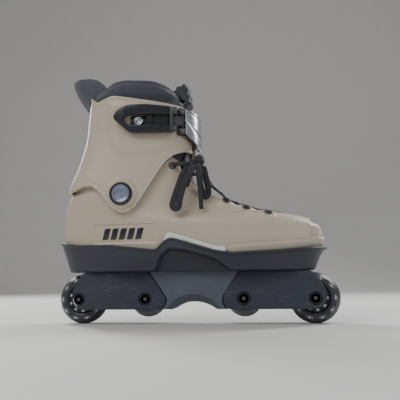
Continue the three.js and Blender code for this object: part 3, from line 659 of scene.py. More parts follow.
def ribbon(name, points, facing, width=5.0, thickness=1.5, finish=LACE, spacing=1.0):
    """A flat lace along a line, its broad side turned to face a direction or one for each point."""
    line = curve_through(points, spacing)
    ahead = unit(np.gradient(line, axis=0))
    facing = np.array(facing, float)
    if facing.ndim == 2:
        where = np.linspace(0, 1, len(facing))
        facing = np.stack([np.interp(np.linspace(0, 1, len(line)), where, facing[:, k]) for k in range(3)], 1)
    across = unit(np.cross(ahead, np.broadcast_to(facing, line.shape)))
    flat = np.cross(across, ahead)
    turns = np.linspace(0, 2 * math.pi, 17)
    side = np.sign(np.cos(turns)) * np.abs(np.cos(turns)) ** 0.6 * width / 2
    rise = np.sign(np.sin(turns)) * np.abs(np.sin(turns)) ** 0.8 * thickness / 2
    body = (line[:, None] + across[:, None] * side[None, :, None] + flat[:, None] * rise[None, :, None])
    middle = np.broadcast_to(line[:, None], body.shape)
    ends = [np.concatenate([middle[:1], (middle[:1] + body[:1]) / 2]),
            np.concatenate([(middle[-1:] + body[-1:]) / 2, middle[-1:]])]
    piece = laid(np.concatenate([ends[0], body, ends[1]]))
    along = np.concatenate([[0, 0], np.arange(len(line)) * spacing, [len(line) * spacing] * 2]) * MM
    layer = piece.data.uv_layers.active or piece.data.uv_layers.new(name="along")
    columns = len(turns)
    for loop in piece.data.loops:
        row, column = divmod(loop.vertex_index, columns)
        layer.data[loop.index].uv = (along[row], side[column] / width)
    closed(piece)
    smooth(piece, 60)
    return named(piece, name, finish), line


KNOT = (8.5, -27, 189)
BOW = {
    "lace_loop_rear": ([
        (1.2, -28.5, 185.6), (-3.5, -35, 180), (-8, -43.5, 170), (-12, -46.5, 158), (-17, -47, 144),
        (-19.5, -47.5, 135), (-17, -48, 130.8), (-12.5, -48.5, 132), (-10.5, -49, 142), (-6, -49, 157),
        (-1, -47, 168), (2.5, -41.5, 178), (4, -35.5, 184.2)], 0.123, "object"),
    "lace_loop_front": ([
        (9, -29, 181.6), (9.5, -32, 174), (10, -34.5, 165), (11.5, -35.5, 156), (13.5, -34.5, 148.5),
        (16.5, -33, 145), (19.5, -31.5, 148.5), (19, -30, 157), (17, -28.5, 166), (15, -27, 175),
        (13, -25, 182)], 0.085, "object"),
    "lace_end_rear": ([
        (4, -29.5, 181.6), (1, -32.5, 175), (-2, -35.5, 166), (-5, -37.5, 156.5)], 0.030, "bare"),
    "lace_end_front": ([
        (9.2, -36, 183.6), (9.5, -39.5, 176), (10, -41, 165), (11, -41.5, 153), (12, -40.5, 141),
        (12.3, -38.8, 130)], 0.055, "bare"),
}
LACE_WIDTH = {"loop": 7.5, "end": 5.0}


def add_bow():
    """Two loops and two ends that hang limp from the knot."""
    for name, (points, length, far_end) in BOW.items():
        facing = [(0.5, -1, 0.4), (-0.2, -1, 0.1), (0.3, -1, 0.2)]
        width = LACE_WIDTH["loop" if far_end == "object" else "end"]
        piece, line = ribbon(name, points, facing, width, 1.9)
        done(piece, "boot", "lace", name)
        line * MM


add_camera()
add_bow()
add_lights()


def add_room():
    """A pale floor that sweeps up into a backdrop."""
    turns = np.linspace(0, math.pi / 2, 12)
    floor_end, sweep = 1500, 900
    profile = [(-4000, 0), (floor_end, 0)]
    profile += [(floor_end + sweep * math.sin(t), sweep - sweep * math.cos(t)) for t in turns[1:]]
    profile += [(floor_end + sweep, 5000)]
    rows = np.array([[(x, y, z) for x in (-6000, 6000)] for y, z in profile])
    floor = laid(rows)
    smooth(floor, 60)
    paint = Finish("floor", (0.62, 0.61, 0.6), 0.75)
    paint.tint(paint.noise(60, 3).ramp(0.3, 0.8) * 0.2, (0.54, 0.53, 0.52))
    named(floor, "floor", paint)


add_room()


# ---- the shell ----
BADGE = [(-115.8, 93), (-115.8, 115), (-39.7, 115), (-39.7, 93)]
TOE_LINE = [(39.6, 88), (78.5, 91), (133.3, 94.1)]
EYELETS = [(87.8, 123.8), (62.2, 131.3), (39.1, 140.2)]
ANKLE_EYELET = (-23.5, 183.4)
SCOOP = [(-43, 56), (-43, 61.4), (-35.3, 78.4), (-24.3, 86.5), (-6.9, 84.5), (25.3, 75.5),
         (40, 65.6), (43.1, 61.3), (43.1, 56)]
SCOOP_DEPTH = 8.5


def side_point(hull, x, z, offset=0.0):
    """Points on the outer side of a hull, and the direction out of it, at given x and z."""
    def on(x, z):
        back, front, back_half, front_half = hull.sizes(z)
        along = np.clip((x - (back + front) / 2) / ((front - back) / 2), -0.999, 0.999)
        c = np.abs(along) ** (1 / hull.ROUNDNESS)
        half = back_half + (front_half - back_half) * smoothstep(along, -0.5, 0.6)
        return np.stack([x, -half * np.sqrt(1 - c * c) ** hull.ROUNDNESS, z], axis=-1)
    x, z = np.broadcast_arrays(np.asarray(x, float), np.asarray(z, float))
    outward = unit(np.cross(on(x + 0.5, z) - on(x - 0.5, z), on(x, z + 0.5) - on(x, z - 0.5)))
    return on(x, z) + outward * np.asarray(offset)[..., None], outward


def spread_rows(hull, low, high, rows, front_weight=0.55):
    """Heights that lie closer together where the outline runs back over the foot."""
    z = np.linspace(low, high, 2001)
    front_run = np.abs(np.diff(hull.sizes(z)[1]))
    measure = np.concatenate([[0], np.cumsum(1.6 * np.diff(z) + front_weight * front_run)])
    return np.interp(np.linspace(0, measure[-1], rows), measure, z)


def denser(columns, hull, z, near, far):
    """Even shares round a hull, but twice as close together between two places on its sides."""
    t = np.linspace(0, 1, 2001)
    x = hull.at(t, z)[:, 0]
    weight = 1 + 1.1 * (smoothstep(x, near - 8, near) * smoothstep(-x, -far - 8, -far))
    total = np.concatenate([[0], np.cumsum((weight[1:] + weight[:-1]) / 2)])
    return np.interp(np.linspace(0, total[-1], columns), total, t)


def shell_relief(points):
    """The badge panels, the toe cap, the line over the sole, the eyelet pads and the heel spine."""
    x, y, z = points[..., 0], points[..., 1], points[..., 2]
    relief = -0.7 * smoothstep(distance(BADGE, x, z), -0.2, 0.7)
    relief -= (SCOOP_DEPTH + 1) * smoothstep(distance(SCOOP, x, z), -3.5, -0.5)
    relief += 0.25 * smoothstep(-np.abs(distance(BADGE, x, z) + 0.9), -0.8, 0)
    line = distance(TOE_LINE, x, z, loop=False)
    relief -= 0.9 * np.exp(-(line / 1.0) ** 2)
    relief += 0.5 * smoothstep(line, 9, 2) * (z < np.interp(x, [39, 133], [88, 94])) * smoothstep(x, 40, 60)
    cap_edge = 134.8 + 0.02 * (y / 8) ** 2
    relief -= 1.5 * smoothstep(x, cap_edge - 0.9, cap_edge + 0.9) * smoothstep(z, 95.5, 97)
    relief += 0.5 * np.exp(-((x - cap_edge + 2) / 1.4) ** 2) * smoothstep(z, 95, 99)
    reach = np.minimum.reduce([np.hypot(x - ex, z - ez) for ex, ez in EYELETS])
    pad = smoothstep(-reach, -10.5, -6)
    relief += 1.5 * pad * (z > 112)
    relief += 1.2 * smoothstep(-np.hypot(x - ANKLE_EYELET[0], z - ANKLE_EYELET[1]), -10, -6.5)
    spine = -149 + 6 * smoothstep(z, 96, 150)
    relief += 0.9 * smoothstep(-(x - spine), -0.9, 0.9) * smoothstep(z, 96, 99) * smoothstep(-z, -150, -143)
    return relief


def add_shell():
    z = spread_rows(SHELL, 65.9, 201, 122)
    start = SHELL.opening(z, THROAT["half"], THROAT["end"])
    t = denser(330, SHELL, 105, -122, -30)
    shares = start[:, None] + (1 - 2 * start[:, None]) * t[None, :]
    points = SHELL.at(shares, z[:, None])
    points = points + normals_of(points) * shell_relief(points)[..., None]
    seam = np.nonzero(start < 1e-6)[0]
    piece = walled("boot_shell", points, SHELL_WALL, SAND, seam=seam)
    done(piece, "boot", "sand_shell", "shell")


def wrapped(piece, hull, offset, spacing=3.0):
    """Bends a plate that was drawn flat, its back at Y 0 and its face at -Y, onto a hull's outer side."""
    low, high = np.array(piece.bound_box)[:, 0].min() / MM, np.array(piece.bound_box)[:, 0].max() / MM
    for x in np.arange(low + spacing, high, spacing):
        edit(piece, lambda x=x: bpy.ops.mesh.bisect(plane_co=(x * MM, 0, 0), plane_no=(1, 0, 0)))
    points = np.array([v.co for v in piece.data.vertices]) / MM
    where, outward = side_point(hull, points[:, 0], points[:, 2], offset)
    moved = where - outward * points[:, 1:2]
    piece.data.vertices.foreach_set("co", (moved * MM).astype(np.float32).ravel())
    piece.data.update()
    smooth(piece, 35)
    return piece


def add_badges():
    """Five plain slanted bars on each badge panel."""
    for side in ("lateral", "medial"):
        bars = []
        for i in range(5):
            x = -105 + i * 10
            corners = [(x, 97.3), (x + 7, 97.8), (x + 10.5, 110.6), (x + 3.5, 110.1)]
            bar = outlined(rounded(corners, 1.0, 3), 0, -0.7)
            soften(bar, 0.2, 2)
            bars.append(wrapped(bar, SHELL, -0.75))
        badge = joined("badge_bars_" + side, bars)
        if side == "medial":
            badge.data.transform(Matrix.Scale(-1, 4, (0, 1, 0)))
            closed(badge)
        done(named(badge, "badge_bars_" + side, GLOSS), "boot", "black_plastic")


def stand(piece, point, outward):
    """Moves a piece that was made at the origin, facing -Y, to a point where it faces outward."""
    turn = Vector((0, -1, 0)).rotation_difference(Vector(outward)).to_matrix().to_4x4()
    piece.data.transform(Matrix.Translation(Vector(point) * MM) @ turn)
    return piece


def add_eyelets():
    """Rolled steel eyelets, each with a dark throat."""
    ring = turned(ring_profile(2.3, 4.7, -1.5, 1.0, 0.7), 0, 0, 28)
    for i, (x, z) in enumerate(EYELETS + [ANKLE_EYELET]):
        point, outward = side_point(SHELL, np.array(x), np.array(z), 1.6 if i < 3 else 1.4)
        for side, mirror in (("lateral", False), ("medial", True)):
            eyelet = copy_of(ring, f"eyelet_{side}_{i + 1}")
            stand(eyelet, point, outward)
            if mirror:
                eyelet.data.transform(Matrix.Scale(-1, 4, (0, 1, 0)))
                closed(eyelet)
            smooth(named(eyelet, eyelet.name, BLACK_STEEL))
            done(eyelet, "boot", "black_steel")
    bpy.data.objects.remove(ring)


add_shell()
add_badges()
add_eyelets()


# ---- soulplate and shims ----
RIM_LINE = [(-175, 96.5), (-164.9, 96.1), (-134.9, 91.9), (-94.2, 91.1), (-39.9, 84.7), (-30, 94.1),
            (-24.6, 97.2), (-19.1, 97.1), (-6.1, 93.7), (25.9, 83.5), (47, 80), (99.1, 82.2),
            (140, 85.2), (175, 87.6)]
SHIM = [(-30.4, 94.6), (-27.1, 102.8), (-23.9, 104.5), (-6.4, 99.1), (25.7, 88.9), (39.6, 87.4), (39.6, 81.8),
        (25.9, 84), (-6.1, 94.2), (-19.1, 97.6), (-24.6, 97.7)]


def add_soulplate():
    """A dish under the shell: a flat underside, a flared wall and the scoop of the grinding arch."""
    t = denser(360, SOLE_HULL, 75, -50, 50)

    def rim(x):
        return eased(RIM_LINE, x, 4)

    wall = SOLE_HULL.surface(t, 61.8, rim, 44)
    wall = wall + normals_of(wall) * 0.9 * smoothstep(wall[..., 2:] - rim(wall[..., :1]), -3.5, -1.5)
    under = []
    for inset in (24, 20, 16, 12, 8, 5, 3, 1.6, 0.7, 0.15):
        ring = SOLE_HULL.at(t, 60.4, inset)
        ring[:, 2] = 60.35 + 1.5 * max(0, 1 - inset / 1.6) ** 2
        under.append(ring)
    points = np.concatenate([np.array(under), wall])
    depth = distance(SCOOP, points[..., 0], points[..., 2])
    edge = np.abs(SOLE_HULL.at(t[None, :], np.maximum(points[..., 2], 61))[..., 1])
    past = np.clip(np.abs(points[..., 1]) - edge + SCOOP_DEPTH * smoothstep(depth, 0, 3.2), 0, None)
    lip = 0.7 * np.exp(-((depth + 0.8) / 1.2) ** 2) * (points[..., 2] > 62)
    points[..., 1] += np.sign(points[..., 1]) * (lip - 0.93 * past * (depth > 0))
    piece = walled("soul_plate", points, 2.6, SOLE, 0.7, seam=np.arange(len(points)))
    done(piece, "boot", "dark_sole", "soulplate")


def add_shims():
    """A white shim on each side, bent onto the shell over the arch."""
    shim = outlined(rounded(SHIM, 1.5, 3), 0, -3.6)
    soften(shim, 0.6, 2)
    wrapped(shim, SHELL, 0.3)
    for side, mirror in (("lateral", False), ("medial", True)):
        piece = named(copy_of(shim, "slide_shim_" + side, mirror=mirror), "slide_shim_" + side, WHITE)
        done(piece, "boot", "white_shim", "arch_shim_" + side)
    bpy.data.objects.remove(shim)


add_soulplate()
add_shims()


# ---- cuff ----
CUFF_BOTTOM = [(20, 201.6), (-6.4, 200.8), (-19.9, 195.7), (-28.9, 188.2), (-37.9, 175.1), (-51.3, 153.2),
               (-62.5, 135.8), (-71.5, 128.8), (-80.6, 127.5), (-89.7, 132.1), (-96.6, 140.2), (-106, 152),
               (-116.6, 160.5), (-127.2, 160.5), (-141.4, 156.5), (-175, 156.5)]
CUFF_TOP = [(-175, 274), (-126, 274), (-113, 262), (-92, 268), (-57, 262.5), (-20, 256), (20, 248)]
SWELL = [(-99, 262), (-99, 217), (-94, 203), (-85, 194), (-65, 191), (-40, 194), (-20, 202),
         (6, 210), (6, 262)]
BOSS_RADIUS = 17.0
BOSS_Y = 47.5


def cuff_relief(points):
    """The swell under the buckle, a rolled upper edge and a faint groove just above the lower edge."""
    x, z = points[..., 0], points[..., 2]
    relief = 1.9 * smoothstep(distance(SWELL, x, z), -1, 9)
    top = eased(CUFF_TOP, x)
    relief += 0.5 * np.exp(-((z - top + 1.6) / 1.6) ** 2)
    bottom = eased(CUFF_BOTTOM, x, 4)
    relief -= 0.35 * np.exp(-((z - bottom - 4.5) / 0.9) ** 2)
    return relief


def add_cuff():
    """The hinged cuff, open down the front and flat round each pivot."""
    rows, columns = 96, 306
    ends = CUFF.opening(np.linspace(150, 270, rows), CUFF_SLOT_HALF, 40)
    t = np.linspace(0, 1, columns)
    shares = ends[:, None] + (1 - 2 * ends[:, None]) * t[None, :]
    spread = np.linspace(0, 1, rows)

    def lower_edge(x):
        return eased(CUFF_BOTTOM, x, 4)

    def upper_edge(x):
        return eased(CUFF_TOP, x)

    points = CUFF.surface(shares, lower_edge, upper_edge, rows, spread=spread)
    points = points + normals_of(points) * cuff_relief(points)[..., None]
    from_pivot = np.hypot(points[..., 0] - PIVOT[0], points[..., 2] - PIVOT[1])
    boss = smoothstep(-from_pivot, -BOSS_RADIUS - 1.6, -BOSS_RADIUS + 0.4)
    points[..., 1] += boss * (np.sign(points[..., 1]) * BOSS_Y - points[..., 1])
    piece = walled("ankle_cuff", points, CUFF_WALL, SAND, 1.1)
    done(piece, "cuff", "sand_shell", "cuff")


def add_pivots():
    """A black ring round a dished blue-grey button on each side."""
    x, z = PIVOT
    seat = -BOSS_Y - 0.3
    ring = turned(ring_profile(10.8, 13.3, seat - 2.2, seat, 0.9), x, z, 72)
    dish = [(0.01, seat - 1.4), (5, seat - 1.5), (8, seat - 1.9), (9.2, seat - 2.7), (9.9, seat - 2.8),
            (10.5, seat - 2.2), (10.5, seat), (5, seat), (5, 3.5 - BOSS_Y), (0.01, 3.5 - BOSS_Y)]
    button = turned(dish, x, z, 72)
    for side, mirror in (("lateral", False), ("medial", True)):
        for piece, name, finish, slot, node in (
                (ring, "pivot_collar_", BLACK, "black_plastic", "pivot_ring_"),
                (button, "pivot_button_", BUTTON, "button", "pivot_bolt_")):
            made = named(copy_of(piece, name + side, mirror=mirror), name + side, finish)
            smooth(made)
            done(made, "boot", slot, node + side)
    bpy.data.objects.remove(ring)
    bpy.data.objects.remove(button)


add_cuff()
add_pivots()


# ---- liner, tongue and pads ----
LINER_INSET = 5.0
LINER_WALL = 6.0
LINER_BOTTOM = 75
LINER_SLOT_END = 82.0


def liner_rows():
    """The shell's levels a step inside it, then the cuff's, with the ankle blended between them."""
    foot = []
    for z in (80, 90, 97, 112, 117, 122, 126, 130, 138, 150, 165, 180):
        back, front, back_half, front_half = SHELL.sizes(np.array(float(z)))
        foot.append((z - LINER_INSET * smoothstep(z, 80, 97), back, front, back_half, front_half))
    shaft = [row for row in CUFF_ROWS if row[0] >= 219]
    return [(z, back + LINER_INSET, front - LINER_INSET, back_half - LINER_INSET, front_half - LINER_INSET)
            for z, back, front, back_half, front_half in foot + shaft]


LINER_HULL = Hull(liner_rows(), 10)
LINER_TOP = [(-175, 275.5), (-113, 275.5), (-101, 280), (-92, 285.5), (-78, 288), (-44, 286.5), (-25, 279.5),
             (-15, 268.5), (-4, 258.5), (20, 256.5)]


def liner_relief(points):
    """Padding that swells over the cuff, stitched down along the front edges and under the rim."""
    x, z = points[..., 0], points[..., 2]
    top = eased(LINER_TOP, x)
    relief = 2.4 * smoothstep(z, 261, 271) * smoothstep(top - z, 0, 8)
    for seam in (top - z - 4.5, x + 27 - 0.3 * (z - 270)):
        relief = relief - 1.1 * np.exp(-(seam / 1.2) ** 2) * smoothstep(z, 252, 258)
    ripple = 0.35 * np.sin(z * 0.9 + 3 * np.sin(x * 0.11))
    relief += ripple * smoothstep(z, 270, 285) * smoothstep(-x, 40, 60) * 0.4
    return relief


def add_liner():
    """One padded boot from toe to collar, open down the front for the tongue."""
    rows, columns = 120, 240
    spread = np.linspace(0, 1, rows)
    heights = LINER_BOTTOM + spread * 196
    half = 19.5 - 5 * smoothstep(heights, 178, 212)
    start = LINER_HULL.opening(heights, half, LINER_SLOT_END)
    t = np.linspace(0, 1, columns)
    shares = start[:, None] + (1 - 2 * start[:, None]) * t[None, :]
    points = LINER_HULL.surface(shares, LINER_BOTTOM, lambda x: eased(LINER_TOP, x, 8), rows)
    points = points + normals_of(points) * liner_relief(points)[..., None]
    piece = walled("padded_liner", points, LINER_WALL, LINER, 2.2, seam=np.nonzero(start < 1e-6)[0])
    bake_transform(piece)
    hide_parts("liner_foot", "liner_shaft")


def lofted(sections):
    """A closed body through rings of points, with a flat end on each."""
    sections = np.array(sections, float)
    sections = np.concatenate([sections, sections[:, :1]], axis=1)
    ends = [np.broadcast_to(ring[:-1].mean(axis=0), ring.shape)[None] for ring in (sections[0], sections[-1])]
    piece = laid(np.concatenate([ends[0], sections, ends[1]]))
    closed(piece)
    return piece


def section(half, thickness, points=36, squareness=0.55):
    """A flat pad's section: across and up, round at its edges."""
    turns = np.linspace(0, 2 * math.pi, points, endpoint=False)
    across = np.sign(np.cos(turns)) * np.abs(np.cos(turns)) ** squareness * half
    up = np.sign(np.sin(turns)) * np.abs(np.sin(turns)) ** 0.75 * thickness / 2
    return across, up


TONGUE = [(82, 119.5), (68, 124.5), (48, 132.5), (35, 139), (19.4, 147.5), (5, 159), (-3, 173), (-6.5, 187),
          (-8, 200), (-8.5, 217), (-9, 240), (-8, 255), (-3.4, 264.5), (-5, 279), (-9, 290), (-15.7, 294.6)]


def add_tongue():
    """A padded tongue from the toes to the shin, with stitched ribs where it shows above the cuff."""
    line = curve_through([(x, 0, z) for x, z in TONGUE], 1.3)
    ahead = unit(np.gradient(line, axis=0))
    out = np.cross(np.array([0.0, 1.0, 0.0]), ahead)
    out *= np.sign(out[:, :1] + 0.001)
    rings = []
    for i, (point, up) in enumerate(zip(line, out)):
        z = point[2]
        ends = min(1.0, math.sqrt(max(0.02, min(i, len(line) - 1 - i) / 7)))
        half = (18 - 5.2 * smoothstep(z, 186, 212)) * (0.8 + 0.2 * ends)
        full = 8.4 + 13 * smoothstep(z, 262, 284)
        thick = full * ends
        ridge = 0.8 * math.sin(max(0, z - 254) * 2 * math.pi / 9) * smoothstep(z, 256, 262) * ends
        across, rise = section(half, thick)
        ribs = 1 + 0.1 * np.cos(across / half * 2.5 * math.pi)
        centre = point - up * (full / 2 - ridge)
        rings.append(centre + np.outer(rise * ribs, up) + np.outer(across, (0, 1, 0)))
    piece = lofted(rings)
    smooth(piece, 60)
    named(piece, "padded_tongue", TONGUE_FABRIC)
    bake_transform(piece)
    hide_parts("tongue_lower", "tongue_upper")


def add_pull_flap():
    """A flared padded tab behind the tendon, whose wings come forward to the collar."""
    across = np.linspace(-1, 1, 61)
    rise = np.linspace(0, 1, 38)[:, None]
    spread = np.abs(across)
    top_x = eased([(-1, -104), (-0.8, -115), (-0.62, -127), (-0.35, -146), (0, -158.6)], -spread, 0.16)
    top_z = eased([(-1, 284), (-0.8, 295.5), (-0.62, 301), (-0.35, 303), (0, 301)], -spread, 0.16)
    low_x = eased([(-1, -108), (-0.6, -124), (0, -134)], -spread, 0.3)
    low_z = eased([(-1, 273), (-0.6, 263), (0, 257.5)], -spread, 0.3)
    belly = 3.5 * np.sin(math.pi * rise) * (1 - spread ** 2)
    x = low_x + (top_x - low_x) * rise ** 1.15 - belly
    y = np.sign(across) * spread ** 0.8 * (27 - 2 * rise)
    points = np.stack([x, y * np.ones_like(x), low_z + (top_z - low_z) * rise], axis=-1)
    seam = np.exp(-((1 - spread) / 0.07) ** 2) + np.exp(-((1 - rise) / 0.08) ** 2)
    middle = 0.8 * np.exp(-(across / 0.03) ** 2)
    outward = -normals_of(points)
    points = points + outward * (1.2 * np.sin(math.pi * rise) ** 0.5 - 0.7 * seam - middle)[..., None]
    piece = walled("pull_flap", points[:, ::-1], 7.5, LINER, 2.8)
    done(piece, "cuff", "liner")


def add_pads():
    """The crowned insole and the shock pad under the heel."""
    pads = (("cushioned_insole", "insole", 1.2), ("heel_cushion", "heel_shock_pad", 0.6))
    for name, node, crown in pads:
        low, high = (np.array(corner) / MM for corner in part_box(node))
        back, front = low[0] + 0.5, high[0] - 0.5
        half = (high[1] - low[1]) / 2 - 0.5
        hull = Hull([(low[2], back, front, half * 0.86, half), (high[2] + 1, back, front, half * 0.86, half)])
        rings = []
        thickness = high[2] - low[2] - 0.2
        section = ((0, 1.5), (0.15, 0.4), (0.5, 0), (0.8, 0.4), (1, 1.6), (1 + crown * 0.3, 6), (1.0, 15))
        for rise, inset in section:
            ring = hull.at(np.linspace(0, 1, 120, endpoint=False), low[2], inset)
            ring[:, 2] = low[2] + 0.1 + thickness * rise * 0.85
            rings.append(ring)
        piece = lofted(rings)
        smooth(piece, 50)
        done(named(piece, name, PADDING), "boot", "foam", node)


add_liner()
add_tongue()
add_pull_flap()
add_pads()


# ---- buckle and strap ----
BAND = Hull([(190, -131.8, -1, 43.5, 40.7), (235, -131.8, -1, 43.5, 40.7), (280, -131.8, -1, 43.5, 40.7)])
LEVER = [(-89.4, 238.9), (-84.2, 248.2), (-74, 253.6), (-53.5, 254.1), (-19.8, 250.4), (-18, 249),
         (-18, 220.8), (-44.4, 219.6), (-69.2, 220.1), (-77.8, 227.3)]
LEVER_WINDOW = [(-78, 237), (-73.5, 241.4), (0, 241.4), (0, 229.2), (-70.5, 229.2)]
STRAP = {"low": 229, "high": 241, "offset": 3.3, "thickness": 2.4}
SHIELD_TOP = [(-7.4, 251.5), (-4, 249), (10, 245), (20, 240)]
SHIELD_LOW = [(-7.4, 221.6), (7.9, 206.8), (20, 202)]


def add_lever():
    """The buckle's loop-shaped lever: a pointed nose and two rounded arms."""
    lever = outlined(rounded(LEVER, 7, 6), 0, -6.6)
    window = outlined(rounded(LEVER_WINDOW, 3, 4), 3, -10)
    cut(lever, window)
    closed(lever)
    soften(lever, 2.9, 5, 40)
    wrapped(lever, BAND, STRAP["offset"])
    done(named(lever, "lever_loop", GLOSS), "lever", "black_plastic", "buckle_lever")


def add_buckle_base():
    """The base plate on the cuff, its two lugs and the domed heads of the rivets that hold it."""
    plate = outlined(rounded([(-70, 229), (-70, 241), (-8, 242), (-8, 228)], 3, 4), 0, -2.2)
    soften(plate, 0.5, 2)
    parts = [wrapped(plate, BAND, 0.6)]
    for z0, z1 in ((218.5, 227.6), (242.4, 251)):
        lug = outlined(rounded([(-16.9, z0), (-16.9, z1), (-8.6, z1), (-8.6, z0)], 3.2, 5), 0, -6.2)
        soften(lug, 0.8, 3, 40)
        parts.append(wrapped(lug, BAND, 0.6))
    base = joined("buckle_plate", parts)
    done(named(base, "buckle_plate", BLACK), "cuff", "black_plastic", "buckle_base")
    dome_section = [(0.01, 0.2), (3.7, 0.2), (3.7, -0.8), (2.6, -1.7), (0.01, -1.9)]
    dome = turned(rounded(dome_section, 0.5, 3), 0, 0, 28)
    for i, (x, z) in enumerate([(-12.9, 246.6), (-12.9, 223)]):
        point, outward = side_point(BAND, np.array(x), np.array(float(z)), 6.8)
        head = stand(copy_of(dome, f"buckle_rivet_{i + 1}"), point, outward)
        smooth(named(head, head.name, BLACK_STEEL))
        done(head, "cuff", "black_steel")
    bpy.data.objects.remove(dome)


def band_strip(name, lateral_x, medial_x, low, high, offset, thickness, finish,
               relief=None, columns=150, rows=18, round_off=0.5):
    """A strip off the cuff by an offset, from the lateral side round the front to the medial side."""
    start = BAND.share_at(lateral_x, 235, -offset)
    end = 1 + BAND.share_at(medial_x, 235, -offset, lateral=False)
    shares = np.broadcast_to(np.linspace(start, end, columns), (rows, columns))
    points = BAND.surface(shares, low, high, rows, inset=-(offset + thickness))
    if relief is not None:
        points = points + normals_of(points) * relief(points)[..., None]
    return named(walled(name, points, thickness, finish, round_off), name, finish)


def add_strap():
    """The ladder strap with its teeth, the ribbed catch and the pieces that fasten it."""
    def ladder(points):
        x, y, z = points[..., 0], points[..., 1], points[..., 2]
        teeth = 0.5 + 0.5 * np.sin(x * 2 * math.pi / 2.6)
        medial = (y > 0) * smoothstep(-x, 8, 14) * smoothstep(-np.abs(z - 235), -4.2, -3.4)
        groove = np.exp(-((np.abs(z - 235) - 4.9) / 0.5) ** 2)
        return 0.7 * teeth * medial - 0.35 * groove
    strap = band_strip("ladder_strap_band", -43, -52, STRAP["low"], STRAP["high"], STRAP["offset"],
                       STRAP["thickness"], BLACK, ladder, 260, 20)
    done(strap, "cuff", "black_plastic", "ladder_strap")
    ribs = []
    for i in range(4):
        rib = outlined(rounded([(-50.3 + i * 1.6, 229.2), (-50.3 + i * 1.6, 240.8), (-49.3 + i * 1.6, 240.8),
                                (-49.3 + i * 1.6, 229.2)], 0.3, 2), 0, -4.2)
        soften(rib, 0.3, 2, 40)
        ribs.append(wrapped(rib, BAND, STRAP["offset"]))
    plate = outlined(rounded([(-50.4, 230.4), (-50.4, 239.6), (-44, 239.6), (-44, 230.4)], 1, 3), 0, -3)
    soften(plate, 0.4, 2, 40)
    ribs.append(wrapped(plate, BAND, STRAP["offset"]))
    done(named(joined("ribbed_catch", ribs), "ribbed_catch", GLOSS), "catch", "black_plastic", "strap_catch")
    ringed = [(0.01, 0.0), (5.4, 0.0), (5.4, -1.5), (4.4, -2.1), (3.4, -1.6), (2.7, -2.6), (1.6, -2.6),
              (1.4, -1.2), (0.01, -1.2)]
    screw = turned(rounded(ringed, 0.3, 2), 0, 0, 48)
    for name, x, side, offset, node in (("ringed_screw", -60, -1, 3.1, "buckle_screw"),
                                        ("anchor_screw", -44, 1, 6.0, "strap_anchor_screw")):
        point, outward = side_point(BAND, np.array(float(x)), np.array(235.0), offset)
        head = stand(copy_of(screw, name), point, outward)
        if side > 0:
            head.data.transform(Matrix.Scale(-1, 4, (0, 1, 0)))
            closed(head)
        smooth(named(head, name, SILVER))
        done(head, "cuff", "silver", node)
    bpy.data.objects.remove(screw)


def add_shield():
    """The bright shield over the front of the strap, cut by a slanting groove, on its black backing."""

    def low(x):
        return eased(SHIELD_LOW, x, 3)

    def high(x):
        return eased(SHIELD_TOP, x, 3)

    def backing_low(x):
        return low(x) - 2.8

    def backing_high(x):
        return high(x) - 3

    def grooves(points):
        x, y, z = points[..., 0], points[..., 1], points[..., 2]
        slant = z - (236 - 1.05 * (x + 7.4)) - 0.1 * np.abs(y)
        above = np.abs(z - high(x) + 3.2)
        sunk = -1.0 * np.exp(-(slant / 1.0) ** 2) - 0.4 * np.exp(-(above / 0.8) ** 2)
        return sunk + 0.5 * smoothstep(-slant, 0, 6)

    shield = band_strip("strap_shield_plate", -7.4, -7.4, low, high, 6.0, 2.3, SILVER, grooves, 130, 44, 0.7)
    done(shield, "cuff", "silver", "strap_shield")
    backing = band_strip("shield_backing", -10.2, -10.2, backing_low, backing_high, 4.9, 1.0, BLACK,
                         None, 110, 30, 0.4)
    done(backing, "cuff", "black_plastic")


add_lever()
add_buckle_base()
add_strap()
add_shield()


# ---- frame ----
AXLES = {name: ((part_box(name + "_axle_nut")[0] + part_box(name + "_axle_nut")[1]) / 2 / MM)
         for name in ("rear_outer", "rear_inner", "front_inner", "front_outer")}
AXLE_Z = AXLES["rear_outer"].z
CHANNEL_HALF, WALL_HALF, FRAME_HALF = 13.0, 17.7, 22.0
FRAME_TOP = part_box("frame")[1].z / MM
BLOCK = [(-51.4, FRAME_TOP), (-33.5, 33.3), (-31.2, 29), (-31.4, 24.6), (-36, 17.2), (36, 17.2), (32.4, 25),
         (32.4, 29), (34.5, 34.6), (51.8, FRAME_TOP)]
WALL = [(-131.5, FRAME_TOP), (-141, 43), (-142, 30), (-134.5, 18), (-60, 18), (-36, 17), (36, 17),
        (60, 18), (139.5, 18), (147.5, 29), (146.5, 39), (133.5, FRAME_TOP)]
REAR_PLATE = [(-133.5, FRAME_TOP), (-144.5, 40), (-145.2, 29), (-136, 17), (-39, 17), (-33, 24.5),
              (-33.4, 31), (-53, FRAME_TOP)]
FRONT_PLATE = [(135.5, FRAME_TOP), (149.5, 37.5), (150.2, 28), (141, 17), (39.5, 17), (33.8, 25),
               (34.2, 33.5), (53.5, FRAME_TOP)]
DECK_BOTTOM = FRAME_TOP - 7.5
AXLE_HOLE = 4
COUNTERBORE = {"radius": 7.7, "depth": 3}
AXLE_HEAD = {"radius": 6.2, "thickness": 2.2, "depth": 2.7, "socket": 2.4}


def arch_section(y, half, apex, base=16.5, steps=28):
    """A round arch over the open underside, as a ring of points at one Y."""
    rise = apex - base
    radius = (half ** 2 + rise ** 2) / (2 * rise)
    x = half * np.linspace(1, -1, steps)
    z = apex - radius + np.sqrt(radius ** 2 - x ** 2)
    ring = [(half, y, base - 8)] + list(zip(x, np.full(steps, y), z)) + [(-half, y, base - 8)]
    return np.array(ring, float)


